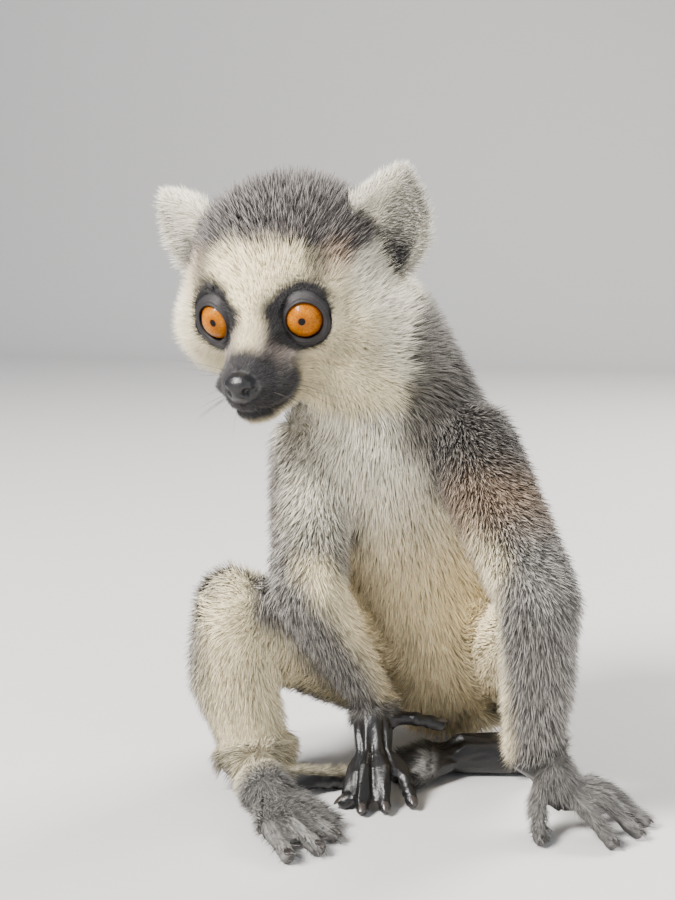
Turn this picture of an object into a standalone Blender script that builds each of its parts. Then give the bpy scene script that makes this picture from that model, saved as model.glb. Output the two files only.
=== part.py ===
"""Young ring-tailed lemur sitting on flat ground, life size, as one still model in named solids.

Every solid reaches out to the tips of the coat.  The body is shaped whole from tapered
limbs and rounded masses, melted together by a voxel remesh, and then parted by thin cuts.
Frame: metres, +Z up, the animal faces -Y, its left is +X.  The origin lies on the floor,
in the middle of the flat that the rump sits on.  Lengths in the tables are millimetres.
"""
import math

import bmesh
import bpy
from mathutils import Matrix, Vector

MM = 0.001

# ---------------------------------------------------------------- driving sizes (mm, degrees)
GAP = 0.3                     # clear space between two solids that touch on the animal
BODY_VOXEL = 1.5              # grid that melts the masses into one surface
BODY_TRIANGLES = 2600         # triangles left on the whole body before it is parted
SIDES = 20                    # sides of a round mass
TRUNK_STEPS = 4               # masses from one station of the trunk to the next
FAR = 900.0                   # a cutter this large reaches past the whole animal

HEAD_PLACE = (-38.0, -104.0, 177.5)   # midway between the centres of the eyeballs
HEAD_PITCH = 19.0             # nose down
HEAD_ROLL = -2.4
HEAD_YAW = -4.0               # towards the animal's right

EYE_RADIUS = 8.2
EYE_SPREAD = 15.4             # half the distance between the eyeballs' centres
NOSE_PLACE = (0.0, -26.0, -14.9)
NOSE_HALF = (6.0, 4.9, 5.0)

EAR_PLACE = (36.0, 31.0, 19.0)
EAR_HALF = (15.5, 5.4, 21.5)
EAR_TILT = {1: 25.0, -1: 42.0}   # how far the tip leans outwards, left ear and right ear
EAR_TURN = 24.0               # the opening looks outwards
EAR_TAPER = 0.62              # how much narrower the tip is than the middle
EAR_WALL = 2.4

TAIL_NODES = 5
TAIL_RADIUS = 15.5
TAIL_SINK = 1.2               # how far the coat under the tail is pressed flat
TAIL_ROUTE = ((6, 18, 22), (9, 42, 15.5), (8, 80, 14.3), (-4, 130, 14.3), (-36, 180, 14.3),
              (-78, 218, 14), (-118, 250, 12.5), (-148, 286, 10.5))

# ---------------------------------------------------------------- the skeleton's joints (mm)
# The left arm stands in front of the folded left leg; the right hand lies between the feet.
JOINTS = {
    "hip_left": (27, 3, 31), "knee_left": (52, -74, 70), "calf_left": (51, -56, 41),
    "ankle_left": (47, -38, 14.5),
    "hip_right": (-21, -10, 31), "flank_right": (-38, -58, 48), "knee_right": (-52, -101, 76),
    "calf_right": (-57, -91, 47), "ankle_right": (-51, -83, 16),
    "shoulder_left": (27, -71, 131), "elbow_left": (60, -111, 86), "wrist_left": (54, -84, 29),
    "shoulder_right": (-31, -72, 130), "elbow_right": (-24, -99, 81), "wrist_right": (-12, -60, 33),
}

# Each limb runs through its joints; the radii are given with the coat.
LIMBS = {
    "thigh_left": (("hip_left", 24), ("knee_left", 15)),
    "shin_left": (("knee_left", 14), ("calf_left", 14), ("ankle_left", 9.5)),
    "thigh_right": (("hip_right", 24), ("flank_right", 17.5), ("knee_right", 13.5)),
    "shin_right": (("knee_right", 14.5), ("calf_right", 17), ("ankle_right", 15)),
    "upper_arm_left": (("shoulder_left", 18), ("elbow_left", 14.5)),
    "forearm_left": (("elbow_left", 14.5), ("wrist_left", 11.5)),
    "upper_arm_right": (("shoulder_right", 17), ("elbow_right", 14)),
    "forearm_right": (("elbow_right", 13.5), ("wrist_right", 9)),
}

# Rounded masses of the trunk: centre and half sizes.
TRUNK = (
    ((4, 0, 32), (36, 34, 34)), ((2, -16, 58), (35, 34, 34)), ((-3, -34, 86), (33, 33, 30)),
    ((-8, -50, 110), (32, 32, 27)), ((-8, -64, 132), (33, 29, 22)),
)
NECK = (((0, -60, 137), 31.5), ((-12, -70, 165), 30), ((-26, -78, 184), 27))

# Masses of the head in its own frame: X to the animal's left, -Y ahead, Z up.
HEAD = (
    ((0, 30, 11), (36, 33, 29)), ((0, 16, 12), (30, 19, 22)), ((0, 24, -8), (37, 22, 22)),
    ((24, 18, -8), (19.5, 19, 19.5)), ((-24, 18, -8), (19.5, 19, 19.5)), ((0, 4, 2), (15, 12, 17)),
    ((0, 11, 13), (23, 15, 14)), ((20, 13, 7), (14.5, 14, 14)), ((-20, 13, 7), (14.5, 14, 14)),
    ((14.2, 4.2, -0.4), (14.6, 11.4, 14.2)), ((-14.2, 4.2, -0.4), (14.6, 11.4, 14.2)),
)
MUZZLE = (((0, 6, -9), 16), ((0, -8, -13.4), 13), ((0, -20.3, -16.6), 8.9))
JAW = (((0, 12, -19), 16), ((0, -4, -22), 12), ((0, -17.2, -24.2), 7.6))
LIPS = (((0, 4, -18), 15), ((0, -18.3, -20.6), 8.1))
WHISKER_PADS = (((8.0, -13, -17.2), (6.5, 9, 7.2)), ((-8.0, -13, -17.2), (6.5, 9, 7.2)))

# Hands and feet: the middle of the digits' roots, then each digit's knuckle and tip.
FEET = {
    "foot_left": ("ankle_left", (45, -35, 8.2), (20, -43, 8),
                  (((7, -40, 6.5), (-4, -40, 2.8)), ((5, -46, 6.8), (-6, -50, 2.8)),
                   ((7, -53, 6.6), (-2, -60, 2.8)), ((13, -57, 6.2), (7, -66, 2.8)),
                   ((23, -31, 5.8), (12, -29, 3.4)))),
    "foot_right": ("ankle_right", (-48, -88, 8.2), (-36, -108, 8),
                   (((-25, -107, 6.8), (-12, -110, 2.8)), ((-22, -115, 7.0), (-8, -121, 2.8)),
                    ((-22, -124, 6.8), (-9, -133, 2.8)), ((-27, -131, 6.4), (-16, -142, 2.8)),
                    ((-31, -83, 6.0), (-20, -71, 3.0)))),
}
HANDS = {
    "hand_left": ("wrist_left", (65, -86, 14),
                  (((74, -73, 13), (85, -66, 2.2)), ((79, -80, 14), (93, -77, 2.2)),
                   ((78, -87, 13.5), (91, -88, 2.2)), ((73, -93, 11.5), (84, -98, 2.2)),
                   ((57, -94, 11), (60, -102, 2.2)))),
    "hand_right": ("wrist_right", (-8, -72, 17),
                   (((-13, -80, 12), (-13, -91, 2.2)), ((-8, -83, 14), (-5, -96, 2.2)),
                    ((-1, -82, 13.5), (3, -93, 2.2)), ((4, -76, 12), (11, -85, 2.2)),
                    ((3, -63, 27), (14, -59, 24)))),
}
TOE_RADII = (5.0, 4.3, 3.6)
FINGER_RADII = (3.9, 3.2, 3.0)

# ---------------------------------------------------------------- thin cuts through the whole body
HEAD_CUT = (0, 52, -18)                  # in the head's frame
HEAD_CUT_NORMAL = (0, -0.35, 1)
NECK_CUT = (-6, -66, 150)
NECK_CUT_NORMAL = (-0.25, -0.2, 1)
END_CUT = {"hand": 1.0, "foot": -3.0}    # from the wrist or ankle joint, along the limb
DISC_RADIUS = {"hand_left": 16.0, "hand_right": 16.0, "foot_left": 16.0, "foot_right": 21.0}
# From a limb's coat to the cut round it.
LIMB_MARGIN = {"forearm": 5.0, "upper_arm": 5.0, "shin": 8.0, "thigh": 8.0}
WAIST_CUT = (0, -34, 82)
WAIST_CUT_NORMAL = (-0.05, -0.45, 1)

# ---------------------------------------------------------------- finishes
FINISHES = {
    "coat_grey": ((0.16, 0.15, 0.145), 0.9), "coat_brown": ((0.19, 0.16, 0.13), 0.9),
    "coat_cream": ((0.62, 0.56, 0.43), 0.9), "coat_pale": ((0.50, 0.47, 0.40), 0.9),
    "coat_ringed": ((0.13, 0.13, 0.13), 0.9), "coat_silver": ((0.30, 0.30, 0.29), 0.85),
    "bare_skin": ((0.014, 0.013, 0.014), 0.35), "nose_leather": ((0.012, 0.011, 0.012), 0.4),
    "eye_amber": ((0.75, 0.24, 0.02), 0.08),
}
COVERS = {
    "head": "coat_cream", "ear": "coat_pale", "eye": "eye_amber", "nose": "nose_leather",
    "neck": "coat_grey", "chest": "coat_brown", "belly": "coat_cream", "thigh": "coat_silver",
    "shin": "coat_cream", "foot_left": "coat_silver", "foot_right": "coat_silver",
    "upper_arm": "coat_grey", "forearm": "coat_grey", "hand_left": "coat_silver",
    "hand_right": "bare_skin", "tail": "coat_ringed",
}


def point(values):
    return Vector(values) * MM


def rotation(degrees, axis):
    return Matrix.Rotation(math.radians(degrees), 4, axis)


def head_matrix():
    turn = rotation(HEAD_YAW, "Z") @ rotation(HEAD_PITCH, "X") @ rotation(HEAD_ROLL, "Y")
    return Matrix.Translation(point(HEAD_PLACE)) @ turn


def finish(obj):
    """Gives a node a Principled surface in one of the animal's colours."""
    name = next(cover for part, cover in COVERS.items() if obj.name.startswith(part))
    material = bpy.data.materials.get(name) or bpy.data.materials.new(name)
    colour, roughness = FINISHES[name]
    material.use_nodes = True
    shader = material.node_tree.nodes["Principled BSDF"]
    shader.inputs["Base Color"].default_value = (*colour, 1.0)
    shader.inputs["Roughness"].default_value = roughness
    material.diffuse_color = (*colour, 1.0)
    obj.data.materials.clear()
    obj.data.materials.append(material)


def new_object(name, bm, collection):
    """Turns a bmesh into an object, shaded smooth."""
    mesh = bpy.data.meshes.new(name)
    bm.to_mesh(mesh)
    bm.free()
    mesh.shade_smooth()
    obj = bpy.data.objects.new(name, mesh)
    collection.objects.link(obj)
    return obj


def settle(obj):
    """Turns an object's modifiers into its mesh."""
    view = bpy.context.evaluated_depsgraph_get()
    mesh = bpy.data.meshes.new_from_object(obj.evaluated_get(view))
    obj.modifiers.clear()
    obj.data = mesh
    return obj


# ---------------------------------------------------------------- masses
def add_ball(clay, centre, half, place=Matrix.Identity(4)):
    """One ellipsoid, in the frame that place gives."""
    shape = Matrix.Translation(point(centre)) @ Matrix.Diagonal((*point(half), 1.0))
    ball = bmesh.new()
    bmesh.ops.create_uvsphere(ball, u_segments=SIDES, v_segments=SIDES // 2 + 2, radius=1.0)
    bmesh.ops.transform(ball, matrix=place @ shape, verts=ball.verts)
    mesh = bpy.data.meshes.new("ball")
    ball.to_mesh(mesh)
    ball.free()
    clay.from_mesh(mesh)
    bpy.data.meshes.remove(mesh)


def add_limb(clay, start, end, start_radius, end_radius, place=Matrix.Identity(4)):
    """A tapered length with a ball at each end."""
    a, b = place @ point(start), place @ point(end)
    along = b - a
    turn = along.to_track_quat("Z", "Y").to_matrix().to_4x4()
    bmesh.ops.create_cone(clay, cap_ends=True, segments=SIDES, radius1=start_radius * MM,
                          radius2=end_radius * MM, depth=along.length,
                          matrix=Matrix.Translation((a + b) / 2) @ turn)
    for centre, radius in ((start, start_radius), (end, end_radius)):
        add_ball(clay, centre, (radius, radius, radius), place)


def add_chain(clay, stations, place=Matrix.Identity(4)):
    """Tapered lengths through a list of (point, radius)."""
    for (a, ra), (b, rb) in zip(stations, stations[1:]):
        add_limb(clay, a, b, ra, rb, place)


def add_digit(clay, root, knuckle, tip, radii):
    add_chain(clay, ((root, radii[0]), (knuckle, radii[1]), (tip, radii[2])))


def add_foot(clay, ankle, heel, ball, digits):
    add_chain(clay, ((JOINTS[ankle], 9.0), (heel, 8.6), (ball, 9.2)))
    toes, hallux = digits[:-1], digits[-1]
    for knuckle, tip in toes:
        root = Vector(ball).lerp(Vector(knuckle), 0.3)
        add_digit(clay, root, knuckle, tip, TOE_RADII)
    root = Vector(heel).lerp(Vector(ball), 0.35)
    add_digit(clay, root, *hallux, (6.0, 5.0, 4.2))


def add_hand(clay, wrist, palm, digits):
    add_chain(clay, ((JOINTS[wrist], 8.6), (palm, 7.4)))
    for knuckle, tip in digits[:-1]:
        root = Vector(palm).lerp(Vector(knuckle), 0.35)
        add_digit(clay, root, knuckle, tip, FINGER_RADII)
    root = Vector(JOINTS[wrist]).lerp(Vector(palm), 0.5)
    add_digit(clay, root, *digits[-1], FINGER_RADII)


def body_masses():
    """The whole animal but its ears, eyes, nose and tail, as overlapping masses."""
    clay = bmesh.new()
    for (place_a, half_a), (place_b, half_b) in zip(TRUNK, TRUNK[1:]):
        for step in range(TRUNK_STEPS + 1):
            share = step / TRUNK_STEPS
            add_ball(clay, Vector(place_a).lerp(Vector(place_b), share),
                     Vector(half_a).lerp(Vector(half_b), share))
    add_chain(clay, NECK)
    for stations in LIMBS.values():
        add_chain(clay, [(JOINTS[joint], radius) for joint, radius in stations])
    head = head_matrix()
    for centre, half in (*HEAD, *WHISKER_PADS):
        add_ball(clay, centre, half, head)
    add_chain(clay, MUZZLE, head)
    add_chain(clay, JAW, head)
    add_chain(clay, LIPS, head)
    for foot in FEET.values():
        add_foot(clay, *foot)
    for hand in HANDS.values():
        add_hand(clay, *hand)
    return clay


def soften(obj, share, repeats):
    """Smooths an object, each point by the share between 0 and 1 that a function gives it."""
    group = obj.vertex_groups.new(name="soft")
    for vertex in obj.data.vertices:
        group.add([vertex.index], share(vertex.co), "REPLACE")
    smooth = obj.modifiers.new("soften", "SMOOTH")
    smooth.factor = 0.5
    smooth.iterations = repeats
    smooth.vertex_group = group.name
    settle(obj)
    obj.vertex_groups.clear()


def softness():
    """How much each place of the body is smoothed: little on the digits and the face."""
    crisp = [(point(palm), 24 * MM) for _, palm, _ in HANDS.values()]
    crisp += [(point(ball), 34 * MM) for _, _, ball, _ in FEET.values()]
    crisp.append((head_matrix() @ point(MUZZLE[-1][0]), 26 * MM))

    def share(co):
        near = min((co - centre).length / radius for centre, radius in crisp)
        return max(0.2, min(1.0, (near - 0.7) * 2.0))
    return share


def whole_body(collection):
    body = new_object("body", body_masses(), collection)
    remesh = body.modifiers.new("melt", "REMESH")
    remesh.mode = "VOXEL"
    remesh.voxel_size = BODY_VOXEL * MM
    settle(body)
    soften(body, softness(), 16)
    thin = body.modifiers.new("thin", "DECIMATE")
    thin.ratio = BODY_TRIANGLES / (2.0 * len(body.data.polygons))
    settle(body)
    return body


# ---------------------------------------------------------------- cutters
def capsule(start, end, start_radius, end_radius, grow=0.0):
    """A closed capsule round a limb, as a mesh."""
    a, b = point(start), point(end)
    along = b - a
    bm = bmesh.new()
    bmesh.ops.create_uvsphere(bm, u_segments=12, v_segments=6, radius=1.0)
    for vertex in bm.verts:
        upper = vertex.co.z > -0.01
        radius = (end_radius if upper else start_radius) + grow
        vertex.co = vertex.co * radius * MM
        if upper:
            vertex.co.z += along.length
    turn = along.to_track_quat("Z", "Y").to_matrix().to_4x4()
    bmesh.ops.transform(bm, matrix=Matrix.Translation(a) @ turn, verts=bm.verts)
    return bm


def half_space(place, normal, grow=0.0):
    """A large block on the side of a plane that its normal points to."""
    turn = Vector(normal).to_track_quat("Z", "Y").to_matrix().to_4x4()
    bm = bmesh.new()
    bmesh.ops.create_cube(bm, size=FAR * MM)
    lift = Matrix.Translation((0, 0, (FAR / 2 - grow) * MM))
    bmesh.ops.transform(bm, matrix=Matrix.Translation(point(place)) @ turn @ lift, verts=bm.verts)
    return bm


def boolean(obj, cutter, operation):
    step = obj.modifiers.new("cut", "BOOLEAN")
    step.operation = operation
    step.solver = "EXACT"
    step.object = cutter
    settle(obj)


def loose_bodies(bm):
    """The sets of points of a mesh that hang together."""
    left = set(bm.verts)
    bodies = []
    while left:
        front = [left.pop()]
        body = set(front)
        while front:
            for edge in front.pop().link_edges:
                for other in edge.verts:
                    if other in left:
                        left.remove(other)
                        body.add(other)
                        front.append(other)
        bodies.append(body)
    return bodies


def keep_largest(obj):
    """Drops slivers that a cut leaves, keeping the one large body."""
    bm = bmesh.new()
    bm.from_mesh(obj.data)
    bmesh.ops.remove_doubles(bm, verts=bm.verts, dist=0.00002)
    bodies = sorted(loose_bodies(bm), key=len)
    bmesh.ops.delete(bm, geom=[v for body in bodies[:-1] for v in body], context="VERTS")
    bmesh.ops.dissolve_degenerate(bm, dist=0.00002, edges=bm.edges)
    bmesh.ops.triangulate(bm, faces=bm.faces)
    bm.to_mesh(obj.data)
    bm.free()
    return obj


def sever(body, name, place, normal, beyond, parts, cutters):
    """Parts off what lies beyond a thin disc that crosses one limb."""
    turn = Vector(normal).to_track_quat("Z", "Y").to_matrix().to_4x4()
    bm = bmesh.new()
    radius = DISC_RADIUS[name] * MM
    bmesh.ops.create_cone(bm, cap_ends=True, segments=SIDES, radius1=radius, radius2=radius,
                          depth=GAP * MM, matrix=Matrix.Translation(point(place)) @ turn)
    disc = new_object("disc", bm, cutters)
    boolean(body, disc, "DIFFERENCE")
    bpy.data.objects.remove(disc)
    bm = bmesh.new()
    bm.from_mesh(body.data)
    bmesh.ops.remove_doubles(bm, verts=bm.verts, dist=0.00002)
    seed = point(beyond)
    loose = min(loose_bodies(bm), key=lambda part: min((v.co - seed).length for v in part))
    piece_bm = bm.copy()
    index = {v.index for v in loose}
    bmesh.ops.delete(bm, geom=list(loose), context="VERTS")
    bm.to_mesh(body.data)
    bm.free()
    piece_bm.verts.ensure_lookup_table()
    rest = [v for v in piece_bm.verts if v.index not in index]
    bmesh.ops.delete(piece_bm, geom=rest, context="VERTS")
    return keep_largest(new_object(name, piece_bm, parts))


def claim(body, name, territory, parts, cutters):
    """Parts one node off the body: what lies in its territory, with a gap to the rest."""
    inside = new_object("inside", territory(0.0), cutters)
    outside = new_object("outside", territory(GAP), cutters)
    piece = bpy.data.objects.new(name, body.data.copy())
    parts.objects.link(piece)
    boolean(piece, inside, "INTERSECT")
    boolean(body, outside, "DIFFERENCE")
    for cutter in (inside, outside):
        bpy.data.objects.remove(cutter)
    return keep_largest(piece)


def carve(body, piece, cutters):
    """Makes room in the body for a piece of its own shape, with a gap round it."""
    room = bpy.data.objects.new("room", piece.data.copy())
    cutters.objects.link(room)
    swell = room.modifiers.new("swell", "DISPLACE")
    swell.mid_level = 0.0
    swell.strength = GAP * 1.2 * MM
    settle(room)
    boolean(body, room, "DIFFERENCE")
    bpy.data.objects.remove(room)


# ---------------------------------------------------------------- pieces of the head
def eye(name, side, parts):
    bm = bmesh.new()
    place = head_matrix() @ Matrix.Translation(point((side * EYE_SPREAD, 0, 0))) @ rotation(90, "X")
    bmesh.ops.create_uvsphere(bm, u_segments=14, v_segments=8, radius=EYE_RADIUS * MM, matrix=place)
    return new_object(name, bm, parts)


def nose(parts):
    bm = bmesh.new()
    shape = Matrix.Translation(point(NOSE_PLACE)) @ Matrix.Diagonal((*point(NOSE_HALF), 1.0))
    bmesh.ops.create_uvsphere(bm, u_segments=12, v_segments=6, radius=1.0, matrix=head_matrix() @ shape)
    return new_object("nose", bm, parts)


def petal(side, inset, ahead):
    """The leaf shape of an ear, smaller by the inset and moved ahead, as a mesh."""
    half = [max(size - inset, 1.0) for size in EAR_HALF]
    bm = bmesh.new()
    bmesh.ops.create_uvsphere(bm, u_segments=12, v_segments=8, radius=1.0)
    for vertex in bm.verts:
        rise = max(vertex.co.z, 0.0)
        vertex.co.x *= 1.0 - EAR_TAPER * rise * rise
    shape = Matrix.Diagonal((*point(half), 1.0))
    turn = rotation(side * EAR_TURN, "Z") @ rotation(side * EAR_TILT[side], "Y")
    middle = Vector(EAR_PLACE) * Vector((side, 1, 1))
    place = head_matrix() @ Matrix.Translation(point(middle)) @ turn
    place = place @ Matrix.Translation(point((0, -ahead, 0)))
    bmesh.ops.transform(bm, matrix=place @ shape, verts=bm.verts)
    return bm


def ear(name, side, parts, cutters):
    obj = new_object(name, petal(side, 0.0, 0.0), parts)
    hollow = new_object("hollow", petal(side, EAR_WALL, EAR_WALL + 1.2), cutters)
    boolean(obj, hollow, "DIFFERENCE")
    bpy.data.objects.remove(hollow)
    return keep_largest(obj)


# ---------------------------------------------------------------- tail
def tail_curve(count):
    """Points along the tail, evenly spaced on a smooth curve through its route."""
    route = [Vector(p) for p in TAIL_ROUTE]
    padded = [2 * route[0] - route[1], *route, 2 * route[-1] - route[-2]]
    fine = []
    for p0, p1, p2, p3 in zip(padded, padded[1:], padded[2:], padded[3:]):
        for step in range(12):
            t = step / 12
            fine.append(0.5 * (2 * p1 + (p2 - p0) * t + (2 * p0 - 5 * p1 + 4 * p2 - p3) * t ** 2
                               + (3 * p1 - p0 - 3 * p2 + p3) * t ** 3))
    fine.append(route[-1])
    lengths = [0.0]
    for a, b in zip(fine, fine[1:]):
        lengths.append(lengths[-1] + (b - a).length)
    points = []
    for index in range(count):
        goal = lengths[-1] * index / (count - 1)
        place = next((i for i, reach in enumerate(lengths) if reach >= goal), len(lengths) - 1)
        place = max(place, 1)
        share = (goal - lengths[place - 1]) / (lengths[place] - lengths[place - 1])
        points.append(fine[place - 1].lerp(fine[place], share))
    return points


def tail_radius(share):
    """Full along its length, narrower at the root and rounded off at the tip."""
    root = 0.80 + 0.20 * min(1.0, share * 8)
    tip = math.sqrt(max(0.0, 1.0 - max(0.0, (share - 0.86) / 0.14) ** 2.4))
    return TAIL_RADIUS * root * max(tip, 0.08)


def tail_piece(name, first, last, points, parts, floor):
    """One length of the tail, from ring to ring, pressed flat where it lies."""
    bm = bmesh.new()
    sides = 12
    rings = []
    count = len(points) - 1
    for index in range(first, last + 1):
        ahead = points[min(index + 1, count)] - points[max(index - 1, 0)]
        turn = ahead.to_track_quat("Z", "Y").to_matrix().to_4x4()
        centre = points[index].copy()
        radius = tail_radius(index / count)
        centre.z = centre.z if index < 4 else radius - TAIL_SINK
        if index == first > 0:
            centre += ahead.normalized() * GAP
        place = Matrix.Translation(point(centre)) @ turn
        ring = bmesh.ops.create_circle(bm, segments=sides, radius=radius * MM, matrix=place)
        rings.append(ring["verts"])
    for a, b in zip(rings, rings[1:]):
        for i in range(sides):
            j = (i + 1) % sides
            bm.faces.new((a[i], a[j], b[j], b[i]))
    bm.faces.new(list(reversed(rings[0])))
    bm.faces.new(rings[-1])
    bmesh.ops.recalc_face_normals(bm, faces=bm.faces)
    obj = new_object(name, bm, parts)
    boolean(obj, floor, "DIFFERENCE")
    return keep_largest(obj)


def build_tail(parts, floor):
    rings = 5
    points = tail_curve(TAIL_NODES * rings + 1)
    return [tail_piece(f"tail_{index + 1}", index * rings, (index + 1) * rings, points, parts, floor)
            for index in range(TAIL_NODES)]


# ---------------------------------------------------------------- the animal
def limb_territory(limb, side):
    """The space round a limb from joint to joint, a little wider than its coat."""
    (start, start_radius), *_, (end, end_radius) = LIMBS[f"{limb}_{side}"]
    a, b = JOINTS[start], JOINTS[end]
    margin = LIMB_MARGIN[limb]
    return lambda grow: capsule(a, b, start_radius + margin, end_radius + margin, grow)


def main():
    for obj in list(bpy.data.objects):
        bpy.data.objects.remove(obj)
    parts = bpy.data.collections.new("ring_tailed_lemur")
    cutters = bpy.data.collections.new("cutters")
    for collection in (parts, cutters):
        bpy.context.scene.collection.children.link(collection)

    floor = new_object("floor", half_space((0, 0, 0), (0, 0, -1)), cutters)
    body = whole_body(cutters)
    boolean(body, floor, "DIFFERENCE")
    pieces = build_tail(parts, floor)
    bpy.data.objects.remove(floor)
    carve(body, pieces[0], cutters)
    for side, name in ((1, "left"), (-1, "right")):
        ball = eye(f"eye_{name}", side, parts)
        leaf = ear(f"ear_{name}", side, parts, cutters)
        carve(body, ball, cutters)
        carve(body, leaf, cutters)
    tip = nose(parts)
    carve(body, tip, cutters)
    head = head_matrix()
    cut = head @ point(HEAD_CUT)
    claim(body, "head", lambda grow: half_space(cut / MM, head.to_3x3() @ Vector(HEAD_CUT_NORMAL), grow),
          parts, cutters)
    claim(body, "neck", lambda grow: half_space(NECK_CUT, NECK_CUT_NORMAL, grow), parts, cutters)
    for side in ("left", "right"):
        for limb, table, name in (("forearm", HANDS, "hand"), ("shin", FEET, "foot")):
            start, end = (Vector(JOINTS[joint]) for joint, _ in LIMBS[f"{limb}_{side}"][-2:])
            middle = Vector(table[f"{name}_{side}"][1])
            along = ((end - start).normalized() + (middle - end).normalized()).normalized()
            sever(body, f"{name}_{side}", end + along * END_CUT[name], along, middle, parts, cutters)
        for limb in ("forearm", "upper_arm", "shin", "thigh"):
            claim(body, f"{limb}_{side}", limb_territory(limb, side), parts, cutters)
    claim(body, "chest", lambda grow: half_space(WAIST_CUT, WAIST_CUT_NORMAL, grow), parts, cutters)
    cutters.objects.unlink(body)
    parts.objects.link(body)
    body.name = "belly"
    keep_largest(body)
    for obj in parts.objects:
        finish(obj)


if __name__ == "__main__":
    main()
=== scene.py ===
# %% [markdown]
# # A young ring-tailed lemur, sitting
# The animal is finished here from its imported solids: one skin under the coat, two eyes, a bare
# nose and bare fingers, and well over a hundred thousand small tufts that lie as fur lies.  Every
# place and size is worked out from the solids, because each of them reaches the coat's tips.

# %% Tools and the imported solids
import heapq
import math

import bmesh
import bpy
import numpy as np
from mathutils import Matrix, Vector
from mathutils.bvhtree import BVHTree


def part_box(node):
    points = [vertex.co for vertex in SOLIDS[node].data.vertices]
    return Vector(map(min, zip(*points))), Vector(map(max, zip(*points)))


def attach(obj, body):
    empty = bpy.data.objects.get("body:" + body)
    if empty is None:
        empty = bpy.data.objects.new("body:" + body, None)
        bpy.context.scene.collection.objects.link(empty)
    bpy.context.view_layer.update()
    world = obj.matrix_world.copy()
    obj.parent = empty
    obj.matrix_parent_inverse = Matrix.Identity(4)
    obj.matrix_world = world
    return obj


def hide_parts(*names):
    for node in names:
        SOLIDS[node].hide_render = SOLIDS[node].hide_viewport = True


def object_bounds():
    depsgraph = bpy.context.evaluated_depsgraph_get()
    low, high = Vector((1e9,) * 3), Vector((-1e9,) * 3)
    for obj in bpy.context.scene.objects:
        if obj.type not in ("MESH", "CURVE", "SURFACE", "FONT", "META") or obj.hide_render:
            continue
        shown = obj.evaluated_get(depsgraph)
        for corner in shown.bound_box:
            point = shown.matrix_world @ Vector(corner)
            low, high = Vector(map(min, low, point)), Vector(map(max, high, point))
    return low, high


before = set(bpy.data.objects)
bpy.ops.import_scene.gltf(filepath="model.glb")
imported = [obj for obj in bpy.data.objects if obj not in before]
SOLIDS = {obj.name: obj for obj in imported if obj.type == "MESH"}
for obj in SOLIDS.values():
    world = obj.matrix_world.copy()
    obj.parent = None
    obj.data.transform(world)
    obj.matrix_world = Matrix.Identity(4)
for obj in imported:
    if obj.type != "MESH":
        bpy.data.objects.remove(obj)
cad_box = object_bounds()
MM = 0.001
SIDES = {"left": 1, "right": -1}
PAWS = ("hand_left", "hand_right", "foot_left", "foot_right")
print(len(SOLIDS), "solids, box", [round(x, 4) for corner in cad_box for x in corner])

# %% [markdown]
# ## Landmarks
# A sculptor measures the armature first.  The eyes and the nose fix the head's own frame, and
# the place where two solids meet is the joint between them.  All later steps speak in these
# terms, so the finish follows if the solids change.


# %% Points, middles and joints of the solids
def read(items, key, form=float, width=3):
    """One property of all the elements of a mesh, a row for each."""
    flat = np.empty(width * len(items), form)
    items.foreach_get(key, flat)
    return flat.reshape(-1, width)


def points_of(node):
    return read(SOLIDS[node].data.vertices, "co")


def middle(node):
    low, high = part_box(node)
    return np.array((low + high) / 2)


def unit(vectors):
    return vectors / np.maximum(np.linalg.norm(vectors, axis=-1, keepdims=True), 1e-12)


def joint(a, b, reach=1.5 * MM):
    """The middle of the ground that two neighbouring solids share."""
    near, other = points_of(a), points_of(b)
    distance = np.linalg.norm(near[:, None] - other[None], axis=2).min(1)
    return near[distance < max(reach, distance.min() * 1.5)].mean(0)


def far_end(node, start, share=0.12):
    """The middle of a solid's points that lie farthest from a place."""
    points = points_of(node)
    order = np.argsort(np.linalg.norm(points - start, axis=1))
    return points[order[-max(3, int(share * len(order))):]].mean(0)


# %% The head's own frame: X to the animal's left, -Y along the gaze, Z up
NOSE_DROP = math.radians(25)
between_eyes = (middle("eye_left") + middle("eye_right")) / 2
head_x = unit(middle("eye_left") - middle("eye_right"))
to_nose = middle("nose") - between_eyes
to_nose = unit(to_nose - head_x * (to_nose @ head_x))
head_y = -(math.cos(NOSE_DROP) * to_nose + math.sin(NOSE_DROP) * np.cross(to_nose, head_x))
HEAD = np.array((head_x, head_y, np.cross(head_x, head_y)))


def in_head(points):
    """Places in the head's frame, in millimetres from the point between the eyes."""
    return (points - between_eyes) @ HEAD.T / MM


def from_head(places):
    return np.asarray(places, float) * MM @ HEAD + between_eyes


# %% The bones' lines, from joint to joint
LINES = {
    "neck": (joint("head", "neck"), joint("neck", "chest")),
    "chest": (joint("neck", "chest"), joint("chest", "belly")),
    "belly": (joint("chest", "belly"), joint("belly", "tail_1")),
}
for side in SIDES:
    shoulder, elbow = joint("chest", f"upper_arm_{side}"), joint(f"upper_arm_{side}", f"forearm_{side}")
    wrist = joint(f"forearm_{side}", f"hand_{side}")
    hip, knee = joint("belly", f"thigh_{side}"), joint(f"thigh_{side}", f"shin_{side}")
    ankle = joint(f"shin_{side}", f"foot_{side}")
    ear_root = joint("head", f"ear_{side}", 2.5 * MM)
    LINES.update({
        f"upper_arm_{side}": (shoulder, elbow), f"forearm_{side}": (elbow, wrist),
        f"thigh_{side}": (hip, knee), f"shin_{side}": (knee, ankle),
        f"hand_{side}": (wrist, far_end(f"hand_{side}", wrist)),
        f"foot_{side}": (ankle, far_end(f"foot_{side}", ankle)),
        f"ear_{side}": (ear_root, far_end(f"ear_{side}", ear_root, 0.05)),
    })
TAIL = sorted(node for node in SOLIDS if node.startswith("tail_"))
tail_stops = [joint("belly", TAIL[0])]
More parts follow.
